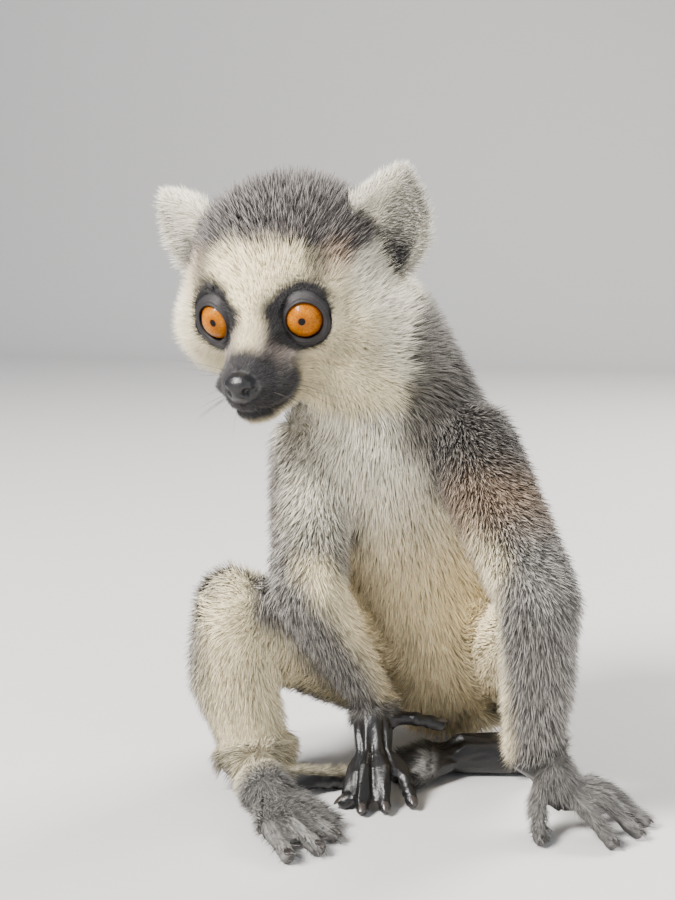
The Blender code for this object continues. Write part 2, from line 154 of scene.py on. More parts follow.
tail_stops += [joint(a, b) for a, b in zip(TAIL, TAIL[1:])]
tail_stops.append(far_end(TAIL[-1], tail_stops[-1], 0.02))
LINES.update({node: (a, b) for node, a, b in zip(TAIL, tail_stops, tail_stops[1:])})
print("tail", round(sum(np.linalg.norm(b - a) for a, b in zip(tail_stops, tail_stops[1:])), 3), "m")

# %% [markdown]
# ## The skin
# Under the fur there is one skin without a seam.  The solids of flesh are copied, swollen by
# the width of the cuts between them and melted together by a voxel remesh.  The furry parts are
# then thinned and the bare ones kept fine, and the whole is drawn in by the depth of the coat.


# %% Small helpers for fields over a surface
def ramp(value, low, high):
    """Smoothly from 0 at low to 1 at high."""
    t = np.clip((value - low) / (high - low), 0, 1)
    return t * t * (3 - 2 * t)


def blob(places, centre, half, edge=0.25):
    """1 inside an ellipsoid, 0 outside it, with a soft edge."""
    reach = np.linalg.norm((places - np.array(centre)) / np.array(half), axis=1)
    return 1 - ramp(reach, 1 - edge, 1 + edge)


def ridge(distance, width):
    """1 on a line, falling off to both sides of it."""
    return np.exp(-(distance / width) ** 2)


def mirrored(places):
    """Both sides of the head folded onto the left one."""
    return np.column_stack((np.abs(places[:, 0]), places[:, 1:]))


def triangles_of(mesh):
    mesh.calc_loop_triangles()
    return read(mesh.loop_triangles, "vertices", np.int32)


def mesh_from(name, points, triangles):
    mesh = bpy.data.meshes.new(name)
    mesh.vertices.add(len(points))
    mesh.vertices.foreach_set("co", np.asarray(points, np.float32).ravel())
    mesh.loops.add(3 * len(triangles))
    mesh.loops.foreach_set("vertex_index", np.asarray(triangles, np.int32).ravel())
    mesh.polygons.add(len(triangles))
    mesh.polygons.foreach_set("loop_start", np.arange(0, 3 * len(triangles), 3, dtype=np.int32))
    mesh.update(calc_edges=True)
    mesh.shade_smooth()
    return mesh


def object_from(name, data):
    obj = bpy.data.objects.new(name, data)
    bpy.context.scene.collection.objects.link(obj)
    return obj


def settle(obj):
    """Turns an object's modifiers into its mesh."""
    view = bpy.context.evaluated_depsgraph_get()
    mesh = bpy.data.meshes.new_from_object(obj.evaluated_get(view))
    obj.modifiers.clear()
    obj.data = mesh


def arrays_of(obj):
    """A mesh's points and normals as arrays."""
    return read(obj.data.vertices, "co"), read(obj.data.vertices, "normal")


def spread(values, links, rounds):
    """Evens values out along the edges of a mesh."""
    values = values.reshape(len(values), -1)
    count = len(values)
    degree = np.maximum(np.bincount(links.ravel(), minlength=count), 1)[:, None]
    for _ in range(rounds):
        total = np.empty_like(values)
        for k in range(values.shape[1]):
            total[:, k] = np.bincount(links[:, 0], values[links[:, 1], k], count)
            total[:, k] += np.bincount(links[:, 1], values[links[:, 0], k], count)
        values = 0.5 * values + 0.5 * total / degree
    return values.squeeze()


# %% The flesh, melted into one surface
FLESH = sorted(node for node in SOLIDS if not node.startswith("eye"))
SWELL = 0.25 * MM
SKIN_VOXEL = 0.75 * MM
SKIN_TRIANGLES = 185000
WELD = 0.005 * MM

bm = bmesh.new()
for node in FLESH:
    piece = bmesh.new()
    piece.from_mesh(SOLIDS[node].data)
    bmesh.ops.remove_doubles(piece, verts=piece.verts, dist=WELD)
    piece.normal_update()
    for vertex in piece.verts:
        vertex.co += vertex.normal * SWELL
    copy = bpy.data.meshes.new("copy")
    piece.to_mesh(copy)
    piece.free()
    bm.from_mesh(copy)
    bpy.data.meshes.remove(copy)
mesh = bpy.data.meshes.new("skin")
bm.to_mesh(mesh)
bm.free()
skin = object_from("skin", mesh)
remesh = skin.modifiers.new("melt", "REMESH")
remesh.mode = "VOXEL"
remesh.voxel_size = SKIN_VOXEL
settle(skin)
print("melted:", len(skin.data.polygons), "faces")

# %% Thinner under the fur, fine on the face and the bare parts
points, normals = arrays_of(skin)
fine = 1 - blob(in_head(points), (0, -6, -6), (32, 30, 26), 0.2)
for node in PAWS:
    low, high = map(np.array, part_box(node))
    fine[((points > low - 2 * MM) & (points < high + 2 * MM)).all(1)] *= 0.7
group = skin.vertex_groups.new(name="thin")
LEVELS = 10
for level in range(LEVELS + 1):
    chosen = np.flatnonzero(np.round(fine * LEVELS) == level)
    group.add(chosen.tolist(), level / LEVELS, "REPLACE")
thin = skin.modifiers.new("thin", "DECIMATE")
thin.ratio = SKIN_TRIANGLES / (2 * len(skin.data.polygons))
thin.vertex_group = group.name
settle(skin)
skin.data = mesh_from("skin", arrays_of(skin)[0], triangles_of(skin.data))
print("thinned:", len(skin.data.polygons), "triangles")

# %% Which solid each point of the skin belongs to
links = read(skin.data.edges, "vertices", np.int32, 2)
points, normals = arrays_of(skin)
all_points, all_triangles, owners = [], [], []
for index, node in enumerate(FLESH):
    corners = triangles_of(SOLIDS[node].data) + sum(map(len, all_points))
    all_points.append(points_of(node))
    all_triangles.append(corners)
    owners += [index] * len(corners)
tree = BVHTree.FromPolygons(np.concatenate(all_points).tolist(), np.concatenate(all_triangles).tolist())
owner = np.array([owners[tree.find_nearest(Vector(p))[2]] for p in points])
kind = np.array([node.replace("_left", "").replace("_right", "") for node in FLESH])[owner]
kind[np.char.startswith(kind, "tail")] = "tail"
print({str(k): int((kind == k).sum()) for k in np.unique(kind)})


def skin_of(node):
    return owner == FLESH.index(node)


def along_bone(node, mine):
    """How far points of the skin lie along a bone's line, in millimetres."""
    start, end = LINES[node]
    return (points[mine] - start) @ unit(end - start) / MM


# %% [markdown]
# ## How the coat grows
# A furrier would note four things at each place: which way the hair lies, how long it is, how
# steeply it stands and how deep the coat is.  Here each point of the skin gets the same four
# values, from the solid that it belongs to, and they are evened out along the surface.

# %% The eyes' own frames, and where the nose is
EYE_RADIUS = float((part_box("eye_left")[1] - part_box("eye_left")[0]).x) / 2 / MM
NOSE = in_head(middle("nose"))
SOCKET_OUT, SOCKET_UP = 20, 2          # degrees from straight ahead
EYE_DEPTH = 13          # millimetres behind an eye's middle, where its marks end
OFF = 99          # a distance in millimetres that stands for not being there at all


def eye_frame(side):
    """Three unit vectors as rows: across, ahead along the gaze, up."""
    out, up = math.radians(SOCKET_OUT), math.radians(SOCKET_UP)
    gaze = np.array((side * math.sin(out) * math.cos(up), -math.cos(out) * math.cos(up), math.sin(up))) @ HEAD
    across = unit(np.cross(gaze, HEAD[2]))
    return np.stack((across, gaze, np.cross(across, gaze)))


def outward_frame(side):
    """The same with its first row away from the nose."""
    return eye_frame(side) * ((-side,), (1,), (1,))


q = in_head(points)
on_head = np.isin(kind, ("head", "nose"))
in_eye = np.empty_like(q)
for name, side in SIDES.items():
    mine = np.sign(q[:, 0]) == side
    in_eye[mine] = (points[mine] - middle(f"eye_{name}")) @ outward_frame(side).T / MM
in_eye[~on_head] = OFF
eye_reach = np.hypot(in_eye[:, 0], in_eye[:, 2])
eye_reach[in_eye[:, 1] < -EYE_DEPTH] = OFF
eye_turn = np.degrees(np.arctan2(in_eye[:, 2], in_eye[:, 0])) % 360      # 0 outwards, 90 up, 180 to the nose


def lid_reach(turn):
    """How far from the middle of the eye the bare lids end: widest above, narrowest by the nose."""
    return np.interp(turn, (0, 90, 180, 270), (9.2, 9.9, 7.9, 9.9), period=360)


beyond_lid = eye_reach - lid_reach(eye_turn)
nose_reach = np.where(on_head, np.linalg.norm(q - NOSE, axis=1), OFF)

# %% Length and depth in millimetres, lift in degrees, tufts to the square millimetre
COAT = {
    "head": (6.0, 3.0, 46, 3.4), "nose": (0.5, 0.1, 20, 0), "ear": (5.2, 0.3, 34, 3.2),
    "neck": (7.5, 4.2, 38, 2.6), "chest": (8.0, 4.6, 36, 2.4), "belly": (7.6, 4.2, 34, 2.4),
    "thigh": (6.8, 3.8, 36, 2.4), "shin": (6.2, 3.4, 36, 2.6), "foot": (4.6, 1.0, 40, 4.2),
    "upper_arm": (7.0, 3.9, 38, 2.6), "forearm": (6.0, 3.2, 38, 2.8), "hand": (3.6, 0.6, 36, 4.2),
    "tail": (9.0, 5.0, 40, 1.9),
}
FACE_LENGTH, FACE_DEPTH = 1.9, 0.2
length, depth, lift, density = spread(np.array([COAT[k] for k in kind], float), links, 8).T
near_face = ramp(nose_reach, 8, 42)
length = FACE_LENGTH + (length - FACE_LENGTH) * near_face
depth = FACE_DEPTH + (depth - FACE_DEPTH) * ramp(nose_reach, 12, 38)
lift = lift * (0.5 + 0.5 * near_face)
density = np.where(on_head, density + 4.6 * (1 - near_face), density)
off_lids = ramp(beyond_lid, 0, 8)
length *= 0.6 + 0.4 * off_lids
depth *= 0.12 + 0.88 * off_lids
for node in PAWS:          # longer over the wrists and ankles
    mine = skin_of(node)
    length[mine] += 1.6 * (1 - ramp(along_bone(node, mine), 0, 14))
for node in ("shin_left", "shin_right"):          # shorter down to the ankles
    mine = skin_of(node)
    before_ankle = (LINES[node][1] - points[mine]) @ unit(LINES[node][1] - LINES[node][0]) / MM
    length[mine] *= 0.55 + 0.45 * ramp(before_ankle, 0, 18)
crown = ramp(q[:, 2], 20, 32) * on_head
lift += 22 * crown
length *= 1 + 0.12 * crown

# %% The line of the mouth, from under the nose down and back to its corners
off_mouth = q[:, 2] + 22.2 + 0.3 * np.clip(q[:, 1] + 26, 0, 8) - 0.1 * np.maximum(q[:, 1] + 18, 0)
off_mouth[~on_head] = OFF
lips = ridge(off_mouth, 1.3) * ramp(-q[:, 1], 9.5, 12)

# %% Bare places: the nose, the lids, the soles, the fingers
NOSE_PAD = NOSE + (0, -0.6, 0), (6.8, 5.6, 5.6)
bare = blob(q, *NOSE_PAD, 0.1) * on_head
bare = np.maximum.reduce((bare, 1 - ramp(beyond_lid, -1.2, 0.2), 0.8 * lips))
leathery = np.zeros(len(points))
for node in PAWS:
    mine = skin_of(node)
    along = along_bone(node, mine)
    if node == "hand_right":
        leathery[mine] = ramp(np.linalg.norm(points[mine] - LINES[node][0], axis=1) / MM, 9, 14)
    elif node == "foot_left":
        leathery[mine] = ramp(along, 9, 14) * (1 - ramp(along, 37, 43))
    elif node == "foot_right":
        inner_side = ramp(normals[mine] @ unit(np.array((0.6, -0.6, -0.3))), 0.05, 0.4)
        leathery[mine] = inner_side * blob(points[mine] / MM, (-25, -88, 4), (13, 26, 9), 0.3)
    furred_to = 36 if node == "hand_left" else 54
    tips, sole = 0.6 * ramp(along, furred_to - 6, furred_to), ramp(-normals[mine, 2], 0.1, 0.55)
    bare[mine] = np.maximum.reduce((bare[mine], tips, sole, leathery[mine]))
density *= 1 - ramp(bare, 0.3, 0.8)
grounded = 1 - ramp(points[:, 2], 3 * MM, 12 * MM)
density *= 1 - grounded * ramp(-normals[:, 2], 0.5, 0.8)

# %% Which way the hair lies
def above_ground(vectors):
    """Close to the floor nothing points down."""
    vectors[:, 2] = np.where(vectors[:, 2] < 0, vectors[:, 2] * (1 - grounded), vectors[:, 2])
    return vectors


BEFORE = {"upper_arm": "chest", "forearm": "upper_arm", "hand": "forearm",
          "thigh": "belly", "shin": "thigh", "foot": "shin"}
lie = np.zeros((len(points), 3))
ear_inside, ear_side = np.zeros(len(points)), np.zeros(len(points))
for node in FLESH:
    mine = skin_of(node)
    if node in ("head", "nose"):
        lie[mine] = unit(points[mine] - from_head(NOSE + (0, -8, 4)))
    elif node in PAWS:
        lie[mine] = unit(points[mine] - LINES[node][0] + 6 * MM * unit(LINES[node][0] - LINES[node][1]))
    else:
        lie[mine] = unit(LINES[node][1] - LINES[node][0])
    part = node.rpartition("_")[0]
    if part in BEFORE:          # it turns gently from the way of the bone before
        before = BEFORE[part] if BEFORE[part] in LINES else node.replace(part, BEFORE[part])
        way = unit(LINES[before][1] - LINES[before][0])
        way = way * (1, 1, 0.2) if part == "thigh" else way
        start, end = LINES[node]
        share = (points[mine] - start) @ (end - start) / ((end - start) @ (end - start))
        lie[mine] = unit(way + (lie[mine] - way) * ramp(share, -0.25, 0.35)[:, None])
    if part == "ear":          # inside an ear it turns across the opening
        side = 1 if node.endswith("left") else -1
        sideways = unit(side * HEAD[0] + 0.45 * HEAD[1])
        opening = unit(-HEAD[1] + 0.45 * side * HEAD[0])
        start, axis = LINES[node][0], unit(LINES[node][1] - LINES[node][0])
        sideways = unit(sideways - axis * (sideways @ axis))
        across = (points[mine] - start) @ sideways / (12 * MM)
        ear_side[mine] = across
        ear_inside[mine] = ramp(normals[mine] @ opening, 0.1, 0.5) * ramp(across, -0.35, 0.05)
        lie[mine] = unit(lie[mine] + 0.9 * ear_inside[mine, None] * sideways)
lie = above_ground(spread(lie, links, 12))
lie = unit(lie - normals * (lie * normals).sum(1, keepdims=True))
lift += 16 * ear_inside

# %% [markdown]
# ## The markings
# Skin and coat are painted alike, so that no pale skin shows in a parting of dark fur.  Each
# mark is a soft-edged shape in the frame of the part it lies on: a cap, two eye patches and a
# muzzle on the head, a dark back over a pale front, rings along the tail.


# %% Paints, and helpers that lay one over another
def paint(red, green, blue):
    """A paint from its everyday 0 to 255 values, in linear light."""
    share = np.array((red, green, blue)) / 255
    return np.where(share <= 0.04045, share / 12.92, ((share + 0.055) / 1.055) ** 2.4)


CREAM, WHITE, CAP = paint(250, 235, 194), paint(243, 236, 214), paint(77, 71, 68)
BLACK, MUZZLE, LID = paint(24, 21, 23), paint(57, 55, 56), paint(23, 17, 20)
GREY, BACK, BROWN = paint(131, 127, 121), paint(72, 67, 62), paint(158, 132, 106)
CHEST, BELLY, SILVER = paint(250, 242, 220), paint(248, 230, 186), paint(116, 114, 110)
GLOSSY_BLACK, TAUPE = paint(12, 11, 13), paint(132, 119, 116)


def over(tone, colour, mask):
    """A colour laid over one paint or many, as thickly as the mask says."""
    return tone + (colour - tone) * np.asarray(mask)[..., None]


def radial(mine, node):
    """From a bone's line out to each point of the skin, as unit vectors, and the share along it."""
    start, end = LINES[node]
    axis = unit(end - start)
    away = points[mine] - start
    along = away @ axis
    share = along / np.linalg.norm(end - start)
    return unit(away - along[:, None] * axis), share, axis


def facing(out, axis, towards):
    """How far each unit vector looks to one side of a bone's line."""
    towards = np.array(towards, float)
    return out @ unit(towards - axis * (towards @ axis))


# Slow waves that make the edges of the marks uneven.
wave = sum(np.sin(points @ np.array(turn) * 1000 / size)
           for turn, size in (((0.6, 0.64, 0.48), 3.1), ((-0.7, 0.3, 0.65), 2.3), ((0.2, -0.9, 0.4), 1.7))) / 3

# %% The body's paints
tone = np.tile(GREY, (len(points), 1))
agouti = np.full(len(points), 0.8)
for node in FLESH:
    mine = skin_of(node)
    part = kind[mine][0] if mine.any() else ""
    if part in ("", "head", "nose", "ear", "tail"):
        continue
    side = 1 if node.endswith("left") else -1
    out, share, axis = radial(mine, node)
    inner = facing(out, axis, (-side, 0.15, -0.2)) + 0.1 * wave[mine]
    behind = facing(out, axis, (0, 1, 0.35)) + 0.1 * wave[mine]
    if part in ("neck", "chest", "belly"):
        front = {"neck": CHEST, "chest": over(CHEST, BELLY, ramp(share, 0.2, 0.9)), "belly": BELLY}[part]
        dark = ramp(behind, *{"neck": (-0.62, -0.2), "chest": (-0.4, -0.05), "belly": (-0.35, 0.1)}[part])
        tone[mine] = over(front, over(BACK, BROWN, 0.25 * ramp(points[mine, 2], 0.115, 0.06)), dark)
        agouti[mine] = 0.2 + 0.5 * dark
    elif part == "upper_arm":
        base = over(BACK, BROWN, (0.6 if side > 0 else 0.1) * ramp(share, 0.2, 0.55))
        base = over(base, GREY, ramp(share, 0.65, 1.0))
        if side > 0:
            inner_edge = facing(out, axis, (-1, -0.4, -0.2)) - 0.8 * (1 - ramp(share, 0.45, 0.95)) + 0.15 * wave[mine]
            pale = 0.65 * ramp(inner_edge, 0.3, 0.9)
        else:
            towards_chest = facing(out, axis, (0.6, -1, 0)) + 0.15 * wave[mine]
            pale = 0.8 * ramp(towards_chest, 0.0, 0.7) * (1 - ramp(share, 0.5, 1.0))
            base = over(base, GREY, 0.35)
        tone[mine] = over(base, CREAM if side > 0 else CHEST, pale)
        agouti[mine] = 0.8 - 0.4 * pale
    elif part == "forearm":
        pale = ramp(inner, 0.35, 0.85) if side > 0 else ramp(inner - 0.2 * ramp(share, 0.15, 0.6), 0.5, 0.85)
        tone[mine] = over(over(GREY, BACK, 0.35 * ramp(behind, -0.6, 0.2)), CREAM, pale)
        agouti[mine] = 1.0 - 0.7 * pale
    elif part == "thigh":
        pale = ramp(inner, -0.25, 0.35)
        tone[mine] = over(GREY, BELLY, pale)
        agouti[mine] = 0.8 - 0.5 * pale
    elif part == "shin":
        grey = ramp(-inner + 0.25 * (1 - share), 0.55, 1.1)
        tone[mine] = over(CREAM, GREY, grey)
        spots = sum(ridge(share - s, 0.05) for s in (0.12, 0.34)) * ramp(-inner, 0.45, 0.75)
        tone[mine] = over(tone[mine], CAP, 0.7 * np.clip(spots, 0, 1))
        agouti[mine] = 0.2 + 0.5 * grey
    else:
        tone[mine] = over(SILVER, CREAM if part == "foot" else GREY, 1 - ramp(share, 0.05, 0.4))
        turned = 0.1 if node != "foot_left" else -0.25
        black = ramp(-normals[mine, 2], turned, turned + 0.4)
        tone[mine] = over(tone[mine], GLOSSY_BLACK, np.maximum(black, leathery[mine]))
        agouti[mine] = 0.9
shoulder = np.isin(kind, ("neck", "chest", "upper_arm"))
beside = mirrored(q)
cape = ramp(beside @ (0.882, 0.277, -0.381) + 2.5 * wave, 49, 54) * (1 - ramp(beside[:, 2], -14, -4))
cape *= shoulder + on_head
tone = over(tone, BACK, 0.9 * cape * ramp(points[:, 2], 0.122, 0.135))
tone = spread(tone, links, 5)
agouti = spread(agouti, links, 5)

# %% Rings along the tail
RINGS = 13
mine = kind == "tail"
reach = np.zeros(mine.sum())
best = np.full(mine.sum(), np.inf)
run = 0.0
for a, b in zip(tail_stops, tail_stops[1:]):
    stretch = np.linalg.norm(b - a)
    along = np.clip((points[mine] - a) @ unit(b - a), 0, stretch)
    away = np.linalg.norm(points[mine] - a - along[:, None] * unit(b - a), axis=1)
    closer = away < best
    reach[closer] = (run + along)[closer]
    best = np.minimum(best, away)
    run += stretch
ring_share = reach / run
turn = (ring_share * RINGS + 0.12 * wave[mine]) % 1.0
pale = ramp(np.abs(turn - 0.5), 0.2, 0.3)
pale *= 1 - ramp(ring_share, 0.93, 0.95)
root = 1 - ramp(ring_share, 0.03, 0.09)
tone[mine] = over(over(BLACK, WHITE, pale), GREY, root)
agouti[mine] = 0.2 + 0.5 * root

# %% The face
# How far the black reaches past the bare lids, by direction round the eye.
BAND = ((0, 25, 65, 100, 140, 165, 195, 220, 245, 270, 300, 360),
        (0.5, 1.4, 5.0, 3.4, 3.8, 7.6, 4.8, 2.2, 1.3, 0.9, 0.6, 0.5))
mine = on_head
face = q[mine] + 0.8 * wave[mine, None]
x, y, z = np.abs(face[:, 0]), face[:, 1], face[:, 2]
folded = mirrored(face)
on_eye_plane = in_eye[mine][:, (0, 2)] + 0.3 * wave[mine, None]
before_eye = ramp(in_eye[mine, 1], -EYE_DEPTH, 4 - EYE_DEPTH)
cap_edge = z - 25.2 + 0.012 * np.minimum(x, 30) ** 2 + 0.9 * np.maximum(y - 36, 0)
cap = ramp(cap_edge, -2.5, 2.5)
below_eye = 0.9 * blob(on_eye_plane, (-10.5, -8), (7.5, 7), 0.45) * before_eye
band = np.interp(eye_turn[mine], *BAND)
band += 2.0 * np.sign(q[mine, 0]) * np.clip(-np.cos(np.radians(eye_turn[mine])), 0, 1) ** 2
patch = 1 - ramp(beyond_lid[mine] + 0.5 * wave[mine], 0.5 * band, 1.1 * band + 0.6)
patch = np.maximum(patch, 0.75 * blob(on_eye_plane, (6.5, 18), (4.4, 8.5), 0.6)) * before_eye
muzzle = np.maximum(1 - ramp(nose_reach[mine] + 0.2 * z, 8.5, 14.5),
                    blob(folded, (9.5, -17, -17.5), (8.5, 9.5, 8), 0.35))
head_tone = CREAM
for colour, mask in (
    (WHITE, ramp(x, 16, 34) * ramp(y, -4, 12)),                                     # the cheeks
    (CAP, cap),
    (BROWN, 0.6 * blob(folded, (27, 8, 15), (7, 8, 7), 0.5)),                       # in front of the ears
    (BACK, ramp(y, 22, 38) * (1 - ramp(x, 14, 34)) * (1 - cap)),                    # the nape
    (BACK, 0.9 * cape[mine]),
    (TAUPE, below_eye),
    (BLACK, patch),
    (MUZZLE, muzzle),
    (BLACK, 0.7 * muzzle * ramp(-z, 14, 22)),
    (BLACK, ridge(off_mouth[mine], 3.0) * ramp(-y, 8, 12)),
    (CREAM, 0.8 * blob(folded, (0, -22, -30.4), (8, 8, 4.0), 0.35)),                # the chin
    (BLACK, lips[mine]),
    (LID, 1 - ramp(beyond_lid[mine], -1.2, -0.4)),
    (GLOSSY_BLACK, blob(q[mine], *NOSE_PAD, 0.12)),
):
    head_tone = over(head_tone, colour, mask)
tone[mine] = head_tone
agouti[mine] = np.clip(0.12 + 0.75 * cap + 0.28 * muzzle + 0.6 * below_eye, 0, 1)

# %% The ears: white edges, grey hair across the opening, and black painted near its base as the shade of the hollow
for name, side in SIDES.items():
    mine = skin_of(f"ear_{name}")
    out, share, axis = radial(mine, f"ear_{name}")
    inside = ear_inside[mine]
    ear_tone = over(WHITE, SILVER, (0.6 if side > 0 else 0.4) * inside)
    rim_of_ear = ramp(ear_side[mine], 0.8, 1.1)
    ear_tone = over(ear_tone, WHITE, 0.9 * rim_of_ear)
    # Black near the base of the opening is painted shade of the ear's hollow.
    tone[mine] = over(ear_tone, BLACK, inside * (1 - ramp(share, 0.2, 0.55)) * (1 - 0.8 * rim_of_ear))
    agouti[mine] = 0.2 + 0.7 * inside

# %% [markdown]
# ## The skin's own shape
# The skin is drawn in under the fur, then the small forms of the face are pressed into it:
# the nostrils and the line of the mouth.  The bare lids are thin folded skin that hugs the
# eyeballs, too fine for the remesh, so they are built as rings further on and joined to the skin.

# %% Drawn in by the depth of the coat, with nostrils and mouth
FLOOR_GAP = 0.1 * MM
furry = ramp(depth, 0.5, 2.5)[:, None]
shape = points - normals * (depth * MM)[:, None]
shape += (spread(shape, links, 5) - shape) * (0.12 + 0.88 * furry)
q_in = in_head(shape)
mouth = ridge(off_mouth, 0.8) * ramp(-q[:, 1], 9, 11.5)
shape -= normals * (1.5 * MM * mouth)[:, None]
nostril = blob(mirrored(q_in), NOSE + (3.4, -3.4, -0.8), (1.3, 2.6, 1.5), 0.5) * on_head
slit = blob(mirrored(q_in), NOSE + (5.2, -1.4, -0.6), (1.6, 2.4, 0.8), 0.5) * on_head
cleft = ridge(q_in[:, 0], 0.7) * ramp(-q_in[:, 2], 17, 20) * ramp(-q_in[:, 1], 20, 24) * on_head
shape -= normals * ((1.9 * nostril + 1.0 * slit + 0.5 * cleft) * MM)[:, None]
shape[:, 2] = np.maximum(shape[:, 2], FLOOR_GAP)

# %% [markdown]
# ## Fingers and toes
# Seen close, a lemur's digits have round pads, swollen joints and creases.  The path length over
# the skin from the wrist peaks at every digit's tip, and rings of equal path length round a tip
# give the digit's axis.  The skin is then moved in or out to a better radius along that axis.


# %% Path lengths over the skin, and the tips they find
DIGITS = 5
WRIST_POINTS = 40
TIPS_APART = 5 * MM


def path_lengths(sources, neighbours, most=math.inf):
    """Shortest ways over the mesh's edges, in millimetres, as far as a limit."""
    reached = {source: 0.0 for source in sources}
    queue = [(0.0, source) for source in sources]
    while queue:
        run, here = heapq.heappop(queue)
        if run > reached[here] or run > most:
            continue
        for there, stretch in neighbours[here]:
            total = run + stretch
            if total < reached.get(there, math.inf):
                reached[there] = total
                heapq.heappush(queue, (total, there))
    return reached


def tips_of(node, neighbours):
    """The five places on a hand or foot that are farthest from its wrist or ankle, one a digit."""
    mine = np.flatnonzero(skin_of(node))
    wrist = mine[np.argsort(np.linalg.norm(shape[mine] - LINES[node][0], axis=1))[:WRIST_POINTS]]
    reached = path_lengths(wrist.tolist(), neighbours)
    runs = np.array([reached.get(i, 0.0) for i in mine])
    tips = []
    for best in np.argsort(-runs):
        place = shape[mine[best]]
        around = np.linalg.norm(shape[mine] - place, axis=1) < TIPS_APART
        far_from_others = all(np.linalg.norm(place - shape[tip]) > TIPS_APART for tip in tips)
        if runs[best] >= runs[around].max() and far_from_others:
            tips.append(mine[best])
        if len(tips) == DIGITS:
            break
    return tips


# %% The digits rounded and jointed
FIRST_RING, RING_STEP = 2.4, 1.6          # millimetres from the tip
PAD_AT, CREASE_AT, JOINT_AT = 3.6, 6.2, 9.0
digits = []
on_paws = np.isin(owner, [FLESH.index(node) for node in PAWS])
neighbours = {}
for a, b in links[on_paws[links].all(1)].tolist():
    stretch = float(np.linalg.norm(shape[a] - shape[b]) / MM)
    neighbours.setdefault(a, []).append((b, stretch))
    neighbours.setdefault(b, []).append((a, stretch))
for node in PAWS:
    least = 2.3 if node.startswith("hand") else 2.6
    for tip in tips_of(node, neighbours):
        reached = path_lengths([tip], neighbours, 22.0)
        zone = np.array(list(reached))
        run = np.array([reached[i] for i in zone])
        axis, radii = [], []
        for low in np.arange(FIRST_RING, 20.0, RING_STEP):
            ring = shape[zone[(run >= low) & (run < low + RING_STEP)]]
            if len(ring) < 4:
                break
            centre = ring.mean(0)
            radius = np.linalg.norm(ring - centre, axis=1).mean() / MM
            if radii and radius > 1.45 * np.median(radii[:3]):
                break
            axis.append(centre)
            radii.append(radius)
        if len(axis) < 3:
            continue
        reach_of_digit = FIRST_RING + RING_STEP * len(axis)
        axis, size = np.array(axis), max(least, float(np.median(radii)))
        along = np.concatenate(([0], np.cumsum(np.linalg.norm(np.diff(axis, axis=0), axis=1)))) / MM
        near = zone[run < reach_of_digit]
        gap = np.linalg.norm(shape[near][:, None] - axis[None], axis=2)
        t_along, foot_point = np.zeros(len(near)), axis[np.argmin(gap, 1)]
        closest = np.full(len(near), np.inf)
        for k in range(len(axis) - 1):
            edge = axis[k + 1] - axis[k]
            share = np.clip((shape[near] - axis[k]) @ edge / (edge @ edge), 0, 1)
            foot = axis[k] + share[:, None] * edge
            distance = np.linalg.norm(shape[near] - foot, axis=1)
            closer = distance < closest
            closest[closer], foot_point[closer] = distance[closer], foot[closer]
            t_along[closer] = (along[k] + share * (along[k + 1] - along[k]))[closer]
        wanted = size * (1 + 0.10 * ridge(t_along - PAD_AT, 1.2) + 0.12 * ridge(t_along - JOINT_AT, 1.5)
                         - 0.10 * ridge(t_along - CREASE_AT, 1.4))
        weight = 1 - ramp(run[run < reach_of_digit], reach_of_digit - 4, reach_of_digit)
        moved = foot_point + (shape[near] - foot_point) / np.maximum(closest, 1e-6)[:, None] * wanted[:, None] * MM
        shape[near] += (moved - shape[near]) * weight[:, None]
        digits.append((node, axis[0], unit(axis[0] - axis[min(2, len(axis) - 1)]), size, axis[-1]))

# %% Furrows on the back of hand and foot, between the bones that lead to the digits
for node in PAWS:
    mine = np.flatnonzero(skin_of(node))
    start = LINES[node][0]
    gaps, shares = [], []
    for base in (digit[4] for digit in digits if digit[0] == node):
        bone = base - start
        share = np.clip((shape[mine] - start) @ bone / (bone @ bone), 0, 1)
        gaps.append(np.linalg.norm(shape[mine] - start - share[:, None] * bone, axis=1) / MM)
        shares.append(share)
    gaps, shares = np.array(gaps), np.array(shares)
    order = np.argsort(gaps, 0)
    nearest, second = np.take_along_axis(gaps, order, 0)[:2]
    share = np.take_along_axis(shares, order, 0)[0]
    fade = ramp(share, 0.25, 0.5) * (1 - ramp(share, 0.9, 1.0))
    deep = 1.3 if node == "hand_right" else 0.6
    shape[mine] -= normals[mine] * (deep * ridge(second - nearest, 1.1) * fade * MM)[:, None]
shape[:, 2] = np.maximum(shape[:, 2], FLOOR_GAP)
print("digits:", {node: sum(digit[0] == node for digit in digits) for node in PAWS})

# %% The bare lids: where they meet the furry skin, and the skin dipping under them
LID_EDGE, LID_EDGE_AHEAD = 6.3, 4.9        # where the lids touch the eyeball
